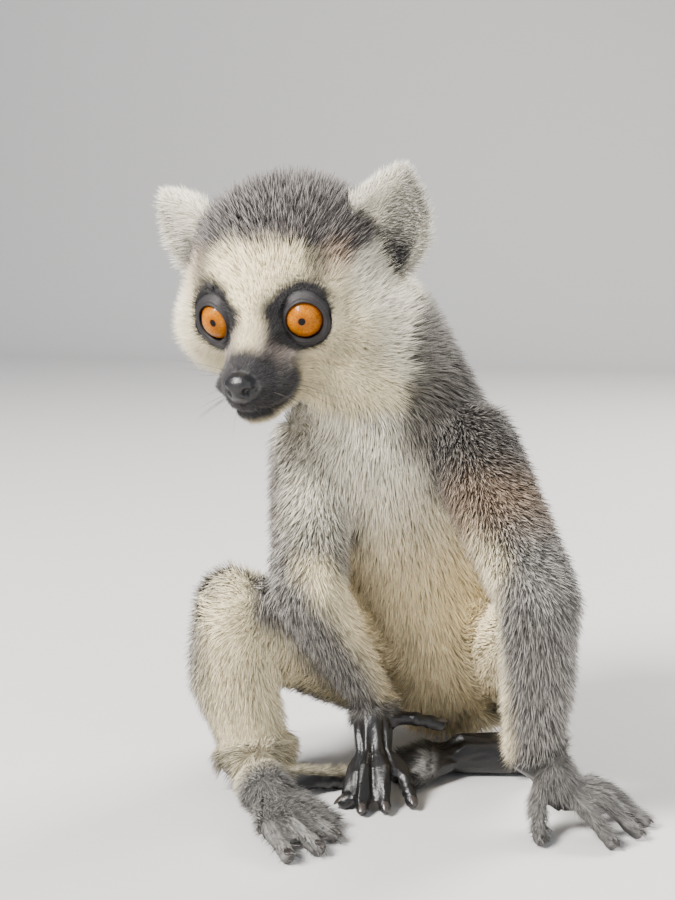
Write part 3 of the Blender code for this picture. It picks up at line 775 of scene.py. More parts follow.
# How far ahead the skin may stand round an eye, by its distance from the line of the gaze.
DISH = (0, 8, 10, 12, 15, 18, 30), (5.0, 5.0, 5.9, 7.6, 11.0, 16.0, 60.0)
TURNS = np.arange(0, 360, 10.0)
lid_seam = {}
for name, side in SIDES.items():
    near = np.flatnonzero(on_head & (np.sign(q[:, 0]) == side) & (eye_reach < 19))
    centre, frame_of_eye = middle(f"eye_{name}"), outward_frame(side)
    local = (shape[near] - centre) @ frame_of_eye.T / MM
    reach = np.hypot(local[:, 0], local[:, 2])
    turn = np.degrees(np.arctan2(local[:, 2], local[:, 0]))
    local[:, 1] = np.minimum(local[:, 1], np.interp(reach, *DISH))
    seam = []
    for way in TURNS:
        off = np.abs((turn - way + 180) % 360 - 180)
        here = (off < 12) & (np.abs(reach - lid_reach(way)) < 0.8) & (local[:, 1] > -8)
        seam.append(local[here, 1].mean() if here.any() else np.nan)
    seam = np.array(seam)
    seam = np.interp(TURNS, TURNS[~np.isnan(seam)], seam[~np.isnan(seam)], period=360)
    seam = (np.roll(seam, 1) + 2 * seam + np.roll(seam, -1)) / 4
    lid_seam[name] = seam
    share = (reach - LID_EDGE) / (lid_reach(turn) - LID_EDGE)
    under = LID_EDGE_AHEAD + (np.interp(turn, TURNS, seam, period=360) - LID_EDGE_AHEAD) * np.clip(share, 0, 1)
    under = np.where(share < 1, under - 0.9 * (1 - ramp(share, 0.8, 1.0)), np.inf)
    local[:, 1] = np.minimum(local[:, 1], under)
    distance = np.linalg.norm(local, axis=1)
    inner = (reach < 7.6) & (local[:, 1] > 0)
    local[inner] *= np.minimum(1, (EYE_RADIUS - 0.8) / distance[inner])[:, None]
    shape[near] = centre + local @ frame_of_eye * MM

# %% The lids themselves: a soft roll at the eyeball, then thin folded skin out to the fur
LID_ROWS = (0.0, 0.02, 0.05, 0.1, 0.16, 0.23, 0.31, 0.4, 0.49, 0.58, 0.67, 0.76, 0.85, 0.93, 1.0, 1.07)
LID_STEPS = 80


def ring_faces(near, far):
    """The triangles between rows of points, each row closed on itself."""
    near2, far2 = np.roll(near, -1, 1), np.roll(far, -1, 1)
    return np.stack((near, near2, far2, near, far2, far), 2).reshape(-1, 3)


def outward_faces(points, faces):
    """Turns a closed mesh's faces outwards, by the sign of its volume."""
    p, f = np.array(points), np.array(faces)
    volume = (np.cross(p[f[:, 0]] - p[0], p[f[:, 1]] - p[0]) * (p[f[:, 2]] - p[0])).sum()
    return f if volume > 0 else f[:, ::-1]


def folds(share, around):
    """The furrows of a lid, from -1 to 1: they run round the eye and waver a little."""
    return np.sin(19 * share + 0.7 * np.sin(3 * around))


def lid_of(name, side):
    """A closed ring round an eye, its underside hidden in the skin."""
    turn = np.arange(LID_STEPS) * 360 / LID_STEPS
    around = np.radians(turn)
    seam = np.interp(turn, TURNS, lid_seam[name], period=360)
    rows = []
    for share in LID_ROWS:
        reach = LID_EDGE + (lid_reach(turn) - LID_EDGE) * share
        arch = math.sin(math.pi * min(share, 1))
        ahead = LID_EDGE_AHEAD + (seam - LID_EDGE_AHEAD) * share + 0.15 * folds(share, around) * arch
        ahead += 0.8 * (1 - math.exp(-share / 0.04)) * (1 - share) + 0.45 * arch
        ahead -= 0.7 * (share > 1)
        local = np.stack((reach * np.cos(around), ahead, reach * np.sin(around)), 1)
        rows.append(middle(f"eye_{name}") + local @ outward_frame(side) * MM)
    index = np.arange(len(rows) * LID_STEPS).reshape(len(rows), LID_STEPS)
    ring = np.concatenate(rows)
    return ring, outward_faces(ring, ring_faces(index, np.roll(index, -1, 0)))


def store(mesh, name, values):
    """Writes a field to a mesh's points as a number or a vector, by its width."""
    values = np.asarray(values, np.float32)
    form, key = ("FLOAT", "value") if values.ndim == 1 else ("FLOAT_VECTOR", "vector")
    mesh.attributes.new(name, form, "POINT").data.foreach_set(key, values.ravel())


old_triangles = triangles_of(skin.data)
skin_points, skin_faces = [shape], [old_triangles]
tones, agoutis, bares = [tone], [agouti], [bare]
for name, side in SIDES.items():
    lid_points, lid_faces = lid_of(name, side)
    skin_faces.append(lid_faces + sum(map(len, skin_points)))
    skin_points.append(lid_points)
    share = np.repeat(LID_ROWS, LID_STEPS)
    edge = np.maximum(1 - ramp(share, 0.05, 0.2), 0.9 * ramp(share, 0.66, 0.95))
    around = np.tile(np.arange(LID_STEPS) * 2 * math.pi / LID_STEPS, len(LID_ROWS))
    # Dark lines in the furrows of the folds: painted shade in the lid's creases.
    edge = np.maximum(edge, 0.45 * ramp(-folds(share, around), 0.2, 0.9))
    tones.append(over(LID, GLOSSY_BLACK, edge))
    agoutis.append(np.zeros(len(share)))
    bares.append(np.full(len(share), 0.6))
skin.data = mesh_from("skin", np.concatenate(skin_points), np.concatenate(skin_faces))
for field, values in (("tone", tones), ("agouti", agoutis), ("bare", bares)):
    store(skin.data, field, np.concatenate(values))
print("skin:", len(skin.data.polygons), "triangles")

# %% [markdown]
# ## Materials
# Fur is thousands of hairs, each darker at its root and paler or darker at its tip.  One group
# works out that colour from the painted tone, and both the skin and the tufts use it, so they
# match.  A second group gives bare skin its fine grain.


# %% Helpers for building node trees
class Tree:
    """Adds nodes to a tree and joins them up in one call each."""

    def __init__(self, tree):
        self.nodes, self.links = tree.nodes, tree.links

    def add(self, kind_name, inputs=(), out=0, **settings):
        node = self.nodes.new(kind_name)
        for key, value in settings.items():
            setattr(node, key, value)
        for socket, value in dict(inputs).items():
            target = node.inputs[socket]
            if isinstance(value, bpy.types.NodeSocket):
                self.links.new(value, target)
            else:
                target.default_value = value
        return node.outputs[out] if out is not None else node

    def math(self, operation, a, b=0.0, c=0.0):
        return self.add("ShaderNodeMath", {0: a, 1: b, 2: c}, operation=operation)

    def vector(self, operation, a, b=(0, 0, 0), out=0):
        return self.add("ShaderNodeVectorMath", {0: a, 1: b}, out, operation=operation)

    def scaled(self, a, factor):
        return self.add("ShaderNodeVectorMath", {0: a, "Scale": factor}, operation="SCALE")

    def mix(self, share, a, b):
        return self.add("ShaderNodeMix", {0: share, 6: a, 7: b}, 2, data_type="RGBA")

    def span(self, value, low, high, to_low=0.0, to_high=1.0):
        return self.add("ShaderNodeMapRange", {0: value, 1: low, 2: high, 3: to_low, 4: to_high})

    def field(self, name, out="Fac"):
        return self.add("ShaderNodeAttribute", out=out, attribute_name=name)

    def noise(self, where, scale, detail, out="Fac", **inputs):
        inputs = {"Vector": where, "Scale": scale, "Detail": detail, **inputs}
        return self.add("ShaderNodeTexNoise", inputs, out)

    def bump(self, height):
        return self.add("ShaderNodeBump", {"Height": height, "Distance": 1.0})


def new_group(name, kind_name, ins=(), outs=()):
    group = bpy.data.node_groups.new(name, kind_name)
    for in_out, sockets in (("INPUT", ins), ("OUTPUT", outs)):
        for label, socket, *default in sockets:
            made = group.interface.new_socket(label, in_out=in_out, socket_type=socket)
            if default:
                made.default_value = default[0]
    start = group.nodes.new("NodeGroupInput").outputs
    end = group.nodes.new("NodeGroupOutput")
    return group, Tree(group), start, end.inputs


def new_material(name, settings=()):
    material = bpy.data.materials.new(name)
    material.use_nodes = True
    tree = Tree(material.node_tree)
    face_in = tree.nodes["Principled BSDF"].inputs
    for socket, value in dict(settings).items():
        face_in[socket].default_value = value
    return material, tree, face_in


# %% The colour of a hair, from its paint, its place in the lock and its own chance
coat_colour, t, given, result = new_group(
    "coat colour", "ShaderNodeTree",
    (("Along", "NodeSocketFloat", 0.3), ("Strand", "NodeSocketFloat", 0.5)),
    (("Colour", "NodeSocketColor"),),
)
tone_in, agouti_in = t.field("tone", "Vector"), t.field("agouti")
drift = t.noise(t.add("ShaderNodeTexCoord", out="Object"), 90.0, 3.0)
shade = t.span(given["Along"], 0.0, 0.7, 0.86, 1.05)
shade = t.math("MULTIPLY", shade, t.math("MULTIPLY_ADD", given["Strand"], 0.24, 0.88))
shade = t.math("MULTIPLY", shade, t.span(drift, 0.3, 0.7, 0.88, 1.12))
plain = t.scaled(tone_in, shade)
band = t.math("SUBTRACT", 1.0, t.math("ABSOLUTE", t.math("SUBTRACT", t.math("MULTIPLY", given["Along"], 2.6), 2.0)))
ticked = t.math("GREATER_THAN", given["Strand"], 0.52)
tick = t.math("MULTIPLY", t.math("MULTIPLY", t.span(band, 0.0, 0.7), ticked), agouti_in)
dark = t.math("MULTIPLY", t.math("LESS_THAN", given["Strand"], 0.34), agouti_in)
plain = t.scaled(plain, t.math("MULTIPLY_ADD", dark, -0.6, 1.0))
pale_tip = {0: tone_in, 1: (1.5, 1.5, 1.5), 2: (0.17, 0.16, 0.148)}
pale_tip = t.add("ShaderNodeVectorMath", pale_tip, operation="MULTIPLY_ADD")
t.links.new(t.mix(t.math("MULTIPLY", tick, 0.85), plain, pale_tip), result["Colour"])

# %% The fine grain of bare skin
leather, t, given, result = new_group(
    "leather grain", "ShaderNodeTree",
    (("Grain", "NodeSocketFloat", 1400.0), ("Depth", "NodeSocketFloat", 0.0001)),
    (("Height", "NodeSocketFloat"),),
)
place = t.add("ShaderNodeTexCoord", out="Object")
cells = t.add("ShaderNodeTexVoronoi", {"Vector": place, "Scale": given["Grain"]}, "Distance")
creases = t.math("MULTIPLY", t.noise(place, 420.0, 4.0), 0.8)
height = t.math("MULTIPLY", t.math("MULTIPLY_ADD", cells, -0.6, creases), given["Depth"])
t.links.new(height, result["Height"])

# %% The skin: dull and hairy under the coat, glossy leather where it is bare
skin_finish, t, face_in = new_material("lemur_skin", {"Base Color": (0.1, 0.1, 0.1, 1)})
colour = t.add("ShaderNodeGroup", {"Along": 0.25, "Strand": 0.45}, node_tree=coat_colour)
bare_in, tone_in = t.field("bare"), t.field("tone", "Vector")
grain = t.add("ShaderNodeGroup", {"Grain": 1500.0, "Depth": 0.0001}, node_tree=leather)
hair = t.noise(t.add("ShaderNodeTexCoord", out="Object"), 1800.0, 3.0)
height = t.add("ShaderNodeMix", {0: bare_in, 2: t.math("MULTIPLY", hair, 0.00025), 3: grain})
t.links.new(t.mix(bare_in, colour, tone_in), face_in["Base Color"])
t.links.new(t.span(bare_in, 0.3, 0.9, 0.85, 0.4), face_in["Roughness"])
t.links.new(t.bump(height), face_in["Normal"])

# %% The coat, one material for each kind of coat
def coat_finish(name, sheen):
    """Shaded half as the single hair and half as the body under it, which keeps it soft."""
    material, t, face_in = new_material("lemur_" + name, {
        "Roughness": 0.62, "Sheen Weight": sheen, "Sheen Roughness": 0.45, "Specular IOR Level": 0.35})
    place = {"Along": t.field("along"), "Strand": t.field("strand")}
    t.links.new(t.add("ShaderNodeGroup", place, node_tree=coat_colour), face_in["Base Color"])
    body, own = t.field("ground", "Vector"), t.add("ShaderNodeNewGeometry", out="Normal")
    soft = t.vector("NORMALIZE", t.vector("ADD", t.scaled(body, 0.9), t.scaled(own, 0.75)))
    t.links.new(soft, face_in["Normal"])
    return material


PALE_SHEEN, DARK_SHEEN = 0.25, 0.15
COAT_FINISH = {name: coat_finish(name, sheen) for name, sheen in (
    ("coat_cream", PALE_SHEEN), ("coat_pale", PALE_SHEEN), ("coat_grey", DARK_SHEEN),
    ("coat_brown", DARK_SHEEN), ("coat_silver", DARK_SHEEN), ("coat_ringed", DARK_SHEEN))}

# %% [markdown]
# ## Laying the coat
# Fur is made of small locks.  One slim closed lock is built, and Geometry Nodes plant it on each
# patch of the skin: evenly spaced, tipped along the lie of the coat, as long as the fields say.
# Real meshes are used rather than hair curves, since they can be exported and printed.

# %% Two locks: a long curved one and a short plain one
def tube_faces(rows):
    """The sides and the tip of a three-sided spike, open at its root."""
    index = np.arange(3 * rows).reshape(rows, 3)
    last = index[-1]
    tip = np.column_stack((last, np.roll(last, -1), np.full(3, 3 * rows)))
    return np.concatenate((ring_faces(index[:-1], index[1:]), tip)).tolist()


def lock(name, rows, bend):
    """A three-sided closed spike of length 1 along Z that bends towards +Y."""
    points = []
    for height, radius in rows:
        for k in range(3):
            turn = 2 * math.pi * k / 3 + math.pi / 6
            points.append((radius * math.cos(turn), 0.55 * radius * math.sin(turn) + bend * height ** 2, height))
    points.append((0, bend, 1.0))
    mesh = mesh_from(name, points, [(2, 1, 0), *tube_faces(len(rows))])
    p = np.array(points)
    store(mesh, "blade", np.column_stack((0.5 + 0.48 * p[:, 0], p[:, 2], 0 * p[:, 0])))
    store(mesh, "along", p[:, 2])
    made = object_from(name, mesh)
    made.hide_render = True
    return made


long_lock = lock("long_lock", ((0.0, 0.8), (0.45, 1.0)), 0.18)
short_lock = lock("short_lock", ((0.0, 1.0),), 0.1)
print("locks of", len(long_lock.data.polygons), "and", len(short_lock.data.polygons), "faces")

# %% The tree that plants them
# How wide a tuft is on the map of its patch, as a share of the map.
TUFT_ON_MAP = 0.003
# Hair that would reach lower than this lies down here, and keeps a small share of its own height.
LOWEST = 0.7 * MM
FLATTENED = 0.04
INPUTS = (
    ("Patch", "NodeSocketGeometry"), ("Lock", "NodeSocketObject"), ("Finish", "NodeSocketMaterial"),
    ("Spacing", "NodeSocketFloat", 0.0009), ("Width", "NodeSocketFloat", 0.0004),
    ("Disorder", "NodeSocketFloat", 0.16), ("Clumping", "NodeSocketFloat", 0.35), ("Seed", "NodeSocketInt", 1),
)
planting, t, given, result = new_group("lay coat", "GeometryNodeTree", INPUTS, (("Coat", "NodeSocketGeometry"),))


def named(name, form="FLOAT"):
    return t.add("GeometryNodeInputNamedAttribute", {"Name": name}, data_type=form)


def chance(low, high, seed):
    seed = t.math("ADD", given["Seed"], float(seed))
    if isinstance(low, tuple):
        return t.add("FunctionNodeRandomValue", {"Min": low, "Max": high, "Seed": seed}, data_type="FLOAT_VECTOR")
    return t.add("FunctionNodeRandomValue", {2: low, 3: high, "Seed": seed}, 1, data_type="FLOAT")


spacing = given["Spacing"]
most = t.math("DIVIDE", 4.0, t.math("MULTIPLY", spacing, spacing))
seeds = t.add("GeometryNodeDistributePointsOnFaces", {
    "Mesh": given["Patch"], "Distance Min": spacing, "Density Max": most,
    "Density Factor": named("coat_share"), "Seed": given["Seed"]}, distribute_method="POISSON")
up = named("ground", "FLOAT_VECTOR")
lie_in = named("lie", "FLOAT_VECTOR")
lift_in = named("coat_lift")
where = t.add("GeometryNodeInputPosition")
swirl = t.vector("SUBTRACT", t.noise(where, 210.0, 1.0, "Color"), (0.5, 0.5, 0.5))
swirl = t.scaled(swirl, given["Clumping"])
stray = t.scaled(chance((-1.0,) * 3, (1.0,) * 3, 1), given["Disorder"])
flow = t.vector("ADD", t.scaled(lie_in, t.math("COSINE", lift_in)), t.scaled(up, t.math("SINE", lift_in)))
flow = t.vector("NORMALIZE", t.vector("ADD", flow, t.vector("ADD", swirl, stray)))
sideways = t.vector("CROSS_PRODUCT", flow, up)
turned = t.add("FunctionNodeAxesToRotation", {0: flow, 1: sideways})
long = t.math("MULTIPLY", named("coat_length"), chance(0.72, 1.18, 2))
wide = t.math("MULTIPLY", given["Width"], t.math("MULTIPLY", named("coat_width"), chance(0.5, 1.35, 3)))
size = t.add("ShaderNodeCombineXYZ", {0: wide, 1: wide, 2: long})
item = t.add("GeometryNodeObjectInfo", {"Object": given["Lock"]}, "Geometry")
locks = t.add("GeometryNodeInstanceOnPoints", {"Points": seeds, "Instance": item, "Rotation": turned, "Scale": size})
locks = t.add("GeometryNodeStoreNamedAttribute", {
    "Geometry": locks, "Name": "strand", "Value": chance(0.0, 1.0, 4)}, data_type="FLOAT", domain="INSTANCE")
coat_mesh = t.add("GeometryNodeRealizeInstances", {"Geometry": locks})
height = t.add("ShaderNodeSeparateXYZ", {"Vector": where}, "Z")
raised = t.math("MAXIMUM", t.math("SUBTRACT", LOWEST, t.math("MULTIPLY", height, 1 - FLATTENED)), 0.0)
raised = t.add("ShaderNodeCombineXYZ", {"Z": raised})
coat_mesh = t.add("GeometryNodeSetPosition", {"Geometry": coat_mesh, "Offset": raised})
place_on_map = t.vector("SUBTRACT", named("blade", "FLOAT_VECTOR"), (0.5, 0.5, 0.0))
place_on_map = t.vector("ADD", named("skin_map", "FLOAT_VECTOR"), t.scaled(place_on_map, TUFT_ON_MAP))
coat_mesh = t.add("GeometryNodeStoreNamedAttribute", {
    "Geometry": coat_mesh, "Name": "OFBake", "Value": place_on_map}, data_type="FLOAT2", domain="CORNER")
for helper in ("skin_map", "lie", "coat_length", "coat_width", "coat_lift", "coat_share", "blade"):
    coat_mesh = t.add("GeometryNodeRemoveAttribute", {"Geometry": coat_mesh, "Name": helper})
coat_mesh = t.add("GeometryNodeSetMaterial", {"Geometry": coat_mesh, "Material": given["Finish"]})
t.links.new(coat_mesh, result["Coat"])
SOCKET = {item.name: item.identifier for item in planting.interface.items_tree if item.in_out == "INPUT"}

# %% Patches of skin, each with the fields its tufts follow
def patch_of(name, chosen):
    """A copy of the chosen triangles of the furry skin, unwrapped, with the coat's fields."""
    used, corners = np.unique(old_triangles[chosen], return_inverse=True)
    mesh = mesh_from(name, shape[used], corners.reshape(-1, 3))
    for field, values in (
        ("tone", tone), ("agouti", agouti), ("lie", lie), ("ground", ground), ("coat_share", share_of),
        ("coat_length", length * MM), ("coat_width", width), ("coat_lift", np.radians(lift)),
    ):
        store(mesh, field, values[used])
    made = object_from(name, mesh)
    bpy.context.view_layer.objects.active = made
    made.select_set(True)
    mesh.uv_layers.new(name="skin_map")
    bpy.ops.object.mode_set(mode="EDIT")
    bpy.ops.mesh.select_all(action="SELECT")
    bpy.ops.uv.smart_project(angle_limit=math.radians(66), island_margin=0.002)
    bpy.ops.object.mode_set(mode="OBJECT")
    made.select_set(False)
    return made


def lay_coat(name, chosen, finish_name, template, spacing, wide, disorder, clumping, seed):
    """One patch of coat; its spacing and width are in millimetres."""
    made = patch_of(name, chosen)
    nodes = made.modifiers.new("coat", "NODES")
    nodes.node_group = planting
    for label, value in (
        ("Lock", template), ("Finish", COAT_FINISH[finish_name]), ("Spacing", spacing * MM), ("Width", wide * MM),
        ("Disorder", disorder), ("Clumping", clumping), ("Seed", seed),
    ):
        nodes[SOCKET[label]] = value
    settle(made)
    made.data.name = name
    made.data.shade_smooth()
    print(name, len(made.data.polygons))
    return made


mesh = mesh_from("ground", shape, old_triangles)
ground = unit(above_ground(read(mesh.vertices, "normal")))
bpy.data.meshes.remove(mesh)
width = np.clip(length / 6.0, 0.7, 1.15)
highest = {part: max(density[kind == part].max(), 1e-6) for part in np.unique(kind)}
share_of = density / np.array([highest[part] for part in kind])
corner_kind = kind[old_triangles]
triangle_kind = np.where(corner_kind[:, 1] == corner_kind[:, 2], corner_kind[:, 1], corner_kind[:, 0])
on_left = np.array([FLESH[i].endswith("left") for i in owner])[old_triangles].sum(1) > 1
front_of_head = q[old_triangles].mean(1)[:, 1] < 6

# %% The coat, patch by patch
is_head = np.isin(triangle_kind, ("head", "nose"))
arms = np.isin(triangle_kind, ("upper_arm", "forearm"))
legs = np.isin(triangle_kind, ("thigh", "shin"))
PATCHES = (
    # name, faces, finish, lock, spacing, width, disorder, clumping
    ("coat_face", is_head & front_of_head, "coat_pale", short_lock, 0.27, 0.145, 0.14, 0.25),
    ("coat_crown", is_head & ~front_of_head, "coat_pale", long_lock, 0.44, 0.16, 0.2, 0.3),
    ("coat_ears", triangle_kind == "ear", "coat_pale", long_lock, 0.42, 0.13, 0.22, 0.35),
    ("coat_neck", triangle_kind == "neck", "coat_grey", long_lock, 0.54, 0.19, 0.2, 0.35),
    ("coat_chest", triangle_kind == "chest", "coat_brown", long_lock, 0.56, 0.19, 0.2, 0.35),
    ("coat_belly", triangle_kind == "belly", "coat_cream", long_lock, 0.6, 0.2, 0.2, 0.35),
    ("coat_arm_left", arms & on_left, "coat_grey", long_lock, 0.54, 0.18, 0.2, 0.35),
    ("coat_arm_right", arms & ~on_left, "coat_grey", long_lock, 0.54, 0.18, 0.2, 0.35),
    ("coat_leg_left", legs & on_left, "coat_cream", long_lock, 0.6, 0.19, 0.2, 0.35),
    ("coat_leg_right", legs & ~on_left, "coat_cream", long_lock, 0.6, 0.19, 0.2, 0.35),
    ("coat_paws", np.isin(triangle_kind, ("hand", "foot")), "coat_silver", short_lock, 0.4, 0.2, 0.14, 0.3),
    ("coat_tail", triangle_kind == "tail", "coat_ringed", long_lock, 0.72, 0.24, 0.2, 0.35),
)
coats = []
for seed, (name, chosen, finish_name, *sizes) in enumerate(PATCHES):
    made = lay_coat(name, chosen, finish_name, *sizes, seed=seed + 1)
    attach(made, "root")
    coats.append(made)
for template in (long_lock, short_lock):
    bpy.data.objects.remove(template)
skin.data.materials.append(skin_finish)
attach(skin, "root")
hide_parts(*FLESH)
print("coat triangles:", sum(len(made.data.polygons) for made in coats))

# %% [markdown]
# ## The eyes
# A lemur's eye is nearly all iris: a ball of amber with dark streaks towards a small pupil, under
# a clear wet cornea.  One ball with its pole on the gaze carries all of it; its paint follows the
# distance from that pole.

# %% The amber of the eye
IRIS, PUPIL = 6.35, 1.3
# Where the pupils sit on the balls, outwards and up: both eyes look a little to the animal's right.
PUPIL_PLACE = {"eye_left": (-0.7, 0.8), "eye_right": (-3.0, 1.5)}
eye_finish, t, face_in = new_material("lemur_eye", {
    "Roughness": 0.3, "Specular IOR Level": 0.05,
    "Coat Weight": 0.35, "Coat Roughness": 0.02, "Coat IOR": 1.3})
on_eye = t.field("gaze_place", "Vector")
flat = t.vector("MULTIPLY", on_eye, (1, 1, 0))
reach = t.vector("LENGTH", flat, out="Value")
spoke = t.vector("ADD", t.scaled(t.vector("NORMALIZE", flat), 7.0), t.scaled(on_eye, 0.35))
streaks = t.noise(spoke, 2.6, 5.0, Roughness=0.65)
patchy = t.noise(on_eye, 0.5, 2.0)
amber = t.mix(t.span(streaks, 0.42, 0.58), (0.22, 0.055, 0.0005, 1), (0.5, 0.18, 0.001, 1))
for share, colour in (
    (t.span(patchy, 0.35, 0.7, 0.0, 0.45), (0.34, 0.095, 0.001, 1)),
    (t.span(reach, PUPIL, PUPIL + 1.8, 0.75, 0.0), (0.2, 0.05, 0.002, 1)),              # round the pupil
    (t.span(reach, 4.4, IRIS, 0.0, 0.8), (0.09, 0.018, 0.002, 1)),                      # towards the rim
    (t.span(reach, IRIS - 0.35, IRIS + 0.1), (0.006, 0.005, 0.005, 1)),                 # past the iris
    (t.span(reach, PUPIL - 0.12, PUPIL + 0.12, 1.0, 0.0), (0.003, 0.003, 0.003, 1)),    # the pupil
):
    amber = t.mix(share, amber, colour)
t.links.new(amber, face_in["Base Color"])
t.links.new(t.bump(t.math("MULTIPLY", streaks, 0.00004)), face_in["Normal"])


# %% Two balls with a slight swelling of the cornea
CLEARANCE, SWELLING = 0.02, 0.45          # millimetres inside the solid, and of the cornea


def eyeball(name, side):
    centre = middle(name)
    rows, turns = 40, 64
    polar = math.pi * np.arange(1, rows) / rows
    swelling = SWELLING * np.exp(-((polar / 0.55) ** 4))
    radius = (EYE_RADIUS - CLEARANCE + swelling - SWELLING) * MM
    turn = 2 * math.pi * np.arange(turns) / turns
    ring = np.stack((np.outer(np.sin(polar), np.cos(turn)), np.outer(np.cos(polar), np.ones(turns)),
                     np.outer(np.sin(polar), np.sin(turn))), 2) * radius[:, None, None]
    front, back = EYE_RADIUS - CLEARANCE, EYE_RADIUS - CLEARANCE - SWELLING
    poles = np.array(((0, front * MM, 0), (0, -back * MM, 0)))
    local = np.concatenate((ring.reshape(-1, 3), poles))
    grid = np.arange((rows - 1) * turns).reshape(rows - 1, turns)
    first, last = grid[0], grid[-1]
    faces = np.concatenate((
        ring_faces(grid[:-1], grid[1:]),
        np.column_stack((np.full(turns, grid.size), np.roll(first, -1), first)),
        np.column_stack((np.full(turns, grid.size + 1), last, np.roll(last, -1)))))
    placed = centre + local @ eye_frame(side)
    flat = local[:, (0, 2)] / MM
    drawn = np.array(PUPIL_PLACE[name]) * (-side, 1) * (1 - np.minimum((flat ** 2).sum(1) / IRIS ** 2, 1))[:, None]
    mesh = mesh_from(name + "_ball", placed, outward_faces(placed, faces))
    store(mesh, "gaze_place", np.column_stack((flat - drawn, local[:, 1] / MM)))
    made = object_from(name + "_ball", mesh)
    mesh.materials.append(eye_finish)
    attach(made, "root")
    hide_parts(name)
    return made


eyes = [eyeball(f"eye_{name}", side) for name, side in SIDES.items()]
print("eyes:", [len(made.data.polygons) for made in eyes])

# %% [markdown]
# ## Nails, whiskers and brow hairs
# Each digit ends in a small arched nail, dark and a little glossy.  Whiskers and brow hairs are
# single stiff hairs: long tapering three-sided tubes, bent by their own weight.

# %% Nails, one on the upper side of each tip
horn, t, face_in = new_material("horn", {"Roughness": 0.28})
growth = t.noise(t.add("ShaderNodeTexCoord", out="Object"), 900.0, 2.0)
t.links.new(t.mix(growth, (0.012, 0.010, 0.010, 1), (0.06, 0.05, 0.045, 1)), face_in["Base Color"])
t.links.new(t.bump(t.math("MULTIPLY", growth, 0.00008)), face_in["Normal"])


def nail(centre, ahead, size):
    """An arched plate that lies on the back of a digit's end and passes its tip a little."""
    back = np.array((0, 0, 1.0)) + 0.8 * unit(ahead * (1, 1, 0))
    back = unit(back - ahead * (back @ ahead))
    side_way = np.cross(ahead, back)
    rows, turns = 7, 12
    points = []
    for i in range(rows):
        u = -1 + 2 * i / (rows - 1)
        wide = 0.62 * size * math.sqrt(max(0.06, 1 - abs(u) ** 2.4))
        for k in range(turns):
            turn = 2 * math.pi * k / turns
            across, thick = wide * math.cos(turn), 0.26 * math.sin(turn) * math.sqrt(max(0.1, 1 - abs(u) ** 3))
            arch = 0.92 * size - 0.34 * across ** 2 / size - 0.10 * size * max(u, 0) ** 2
            along = 0.35 * size + 0.92 * size * u
            points.append(centre + MM * (ahead * along + side_way * across + back * (arch + thick)))
    index = np.arange(rows * turns).reshape(rows, turns)
    faces = ring_faces(index[:-1], index[1:]).tolist()
    for k in range(1, turns - 1):
        faces += [(index[0, 0], index[0, k + 1], index[0, k]), (index[-1, 0], index[-1, k], index[-1, k + 1])]
    return points, faces


def gather(name, lumps, material):
    """Joins closed lumps into one piece."""
    points, faces, count = [], [], 0
    for lump_points, lump_faces in lumps:
        faces.append(outward_faces(lump_points, lump_faces) + count)
        points.append(np.array(lump_points))
        count += len(lump_points)
    made = object_from(name, mesh_from(name, np.concatenate(points), np.concatenate(faces)))
    made.data.materials.append(material)
    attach(made, "root")
    print(name, len(made.data.polygons))
    return made


gather("nails", [nail(centre, ahead, size) for _, centre, ahead, size, _ in digits], horn)

# %% Whiskers and brow hairs
whisker_finish, t, face_in = new_material("whisker", {"Roughness": 0.4})
shade = t.noise(t.add("ShaderNodeTexCoord", out="Object"), 60.0, 1.0)
t.links.new(t.mix(shade, (0.02, 0.018, 0.018, 1), (0.16, 0.14, 0.13, 1)), face_in["Base Color"])
SAG, HAIR_STEPS = 0.12, 7          # how far a tip hangs, as a share of its length


def stiff_hair(root, direction, long, wide):
    """A tapering three-sided tube from a root, in metres."""
    side_way = unit(np.cross(direction, (0, 0, 1.0)))
    other = np.cross(side_way, direction)
    hang = np.array((0, 0, SAG * long))
    points = []
    for i in range(HAIR_STEPS):
        s = i / HAIR_STEPS
        centre = root + direction * long * s - hang * s * s
        for k in range(3):
            turn = 2 * math.pi * k / 3
            points.append(centre + wide * (1 - s) ** 0.7 * (side_way * math.cos(turn) + other * math.sin(turn)))
    points.append(root + direction * long - hang)
    return points, [*tube_faces(HAIR_STEPS), (2, 1, 0)]


chance_of = np.random.default_rng(7)
skin_tree = BVHTree.FromPolygons(shape.tolist(), old_triangles.tolist())
ROOTED = 0.4 * MM          # how deep a hair starts in the skin


def hair_at(spot, lean, stray, lengths, wide):
    """A stiff hair from the skin nearest to a spot of the head, in millimetres."""
    place, normal = skin_tree.find_nearest(Vector(from_head(spot)))[:2]
    way = unit(np.array(normal) + np.array(lean) @ HEAD + stray * chance_of.normal(size=3))
    return stiff_hair(np.array(place) - ROOTED * way, way, chance_of.uniform(*lengths) * MM, wide * MM)


hairs = []
for side in SIDES.values():
    for row in range(3):
        for k in range(4):
            spot = side * (6.5 + 1.2 * row), -21 + 3.2 * k + row, -16.5 - 2.1 * row
            hairs.append(hair_at(spot, (0.8 * side, 0.25, 0), 0.18, (13, 24), 0.085))
    for k in range(4):
        spot = side * (12 + 2.2 * k), -2, 15 + 0.6 * k
        hairs.append(hair_at(spot, (0.35 * side, 0, 0.9), 0.15, (10, 15), 0.075))
gather("whiskers", hairs, whisker_finish)

# %% [markdown]
# ## Floor, light and camera
# The model sits on a plain pale floor in the soft light of three large lamps: a key from the
# upper front left, a fill from the right, and a rim light behind that makes the coat's edge glow.
# The camera stands at the height of the head and looks a little down.

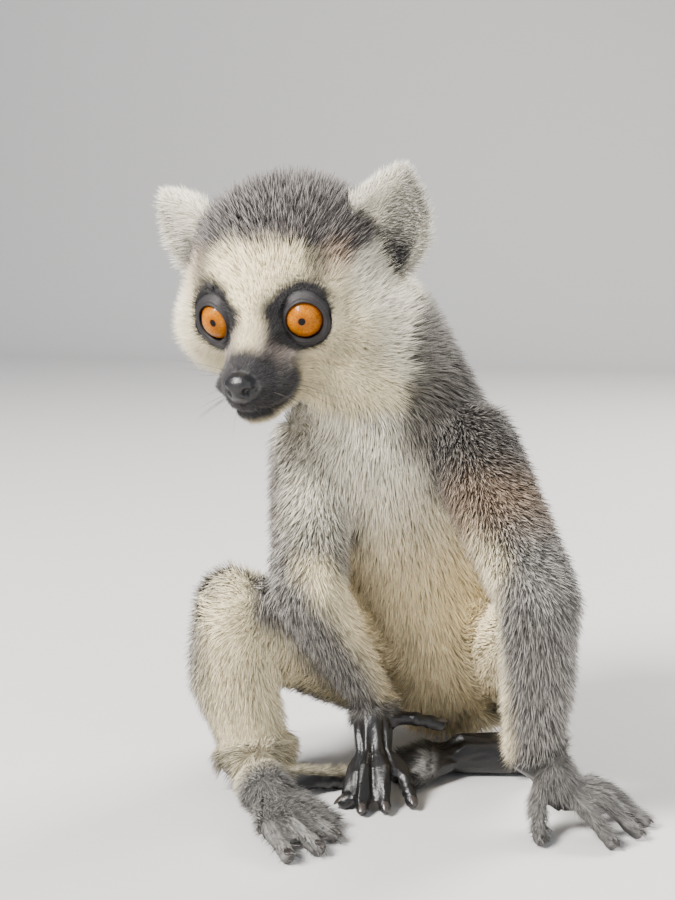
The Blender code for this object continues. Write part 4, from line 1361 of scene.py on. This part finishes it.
# %% The floor curves up into a backdrop far behind
def sweep(name, half, depth_back, height, bend=0.4, steps=12):
    profile = [(-half, 0.0), (depth_back - bend, 0.0)]
    profile += [(depth_back - bend + bend * math.sin(a), bend * (1 - math.cos(a)))
                for a in np.linspace(0, math.pi / 2, steps)[1:]]
    profile.append((depth_back, height))
    points = [(x, y, z) for y, z in profile for x in (-half, half)]
    faces = []
    for k in range(len(profile) - 1):
        a = 2 * k
        faces += [(a, a + 1, a + 3), (a, a + 3, a + 2)]
    return object_from(name, mesh_from(name, points, faces))


floor = sweep("floor", 3.0, 2.5, 3.0)
floor_finish = new_material("pale_floor", {"Base Color": (0.62, 0.61, 0.60, 1), "Roughness": 0.8})[0]
floor.data.materials.append(floor_finish)

world = bpy.data.worlds.new("studio")
world.use_nodes = True
sky = world.node_tree.nodes["Background"].inputs
sky["Color"].default_value = (0.85, 0.9, 1.0, 1)
sky["Strength"].default_value = 0.5
bpy.context.scene.world = world
low, high = cad_box
target = Vector(((low.x + high.x) / 2, (low.y + high.y) / 2, 0.11))
for name, place, size, power, colour in (
    ("key", (-0.7, -1.2, 1.3), 0.5, 104, (1.0, 0.97, 0.93)),
    ("fill", (1.3, -0.9, 0.7), 1.2, 10, (0.93, 0.96, 1.0)),
    ("rim", (0.9, 1.1, 1.2), 0.7, 60, (1.0, 0.96, 0.9)),
):
    lamp = bpy.data.lights.new(name, "AREA")
    lamp.size, lamp.energy, lamp.color = size, power, colour
    lamp_object = object_from(name, lamp)
    lamp_object.location = place
    lamp_object.rotation_euler = (target - Vector(place)).to_track_quat("-Z", "Y").to_euler()

# %% The camera
AZIMUTH, PITCH = math.radians(18), math.radians(7.5)
camera_data = bpy.data.cameras.new("camera")
camera_data.lens = 56.4
camera = object_from("camera", camera_data)
camera.location = (0.1355, -0.5564, 0.195)
look = Vector((-math.sin(AZIMUTH) * math.cos(PITCH), math.cos(AZIMUTH) * math.cos(PITCH), -math.sin(PITCH)))
camera.rotation_euler = look.to_track_quat("-Z", "Y").to_euler()
bpy.context.scene.camera = camera

# %% The end
bpy.context.view_layer.update()
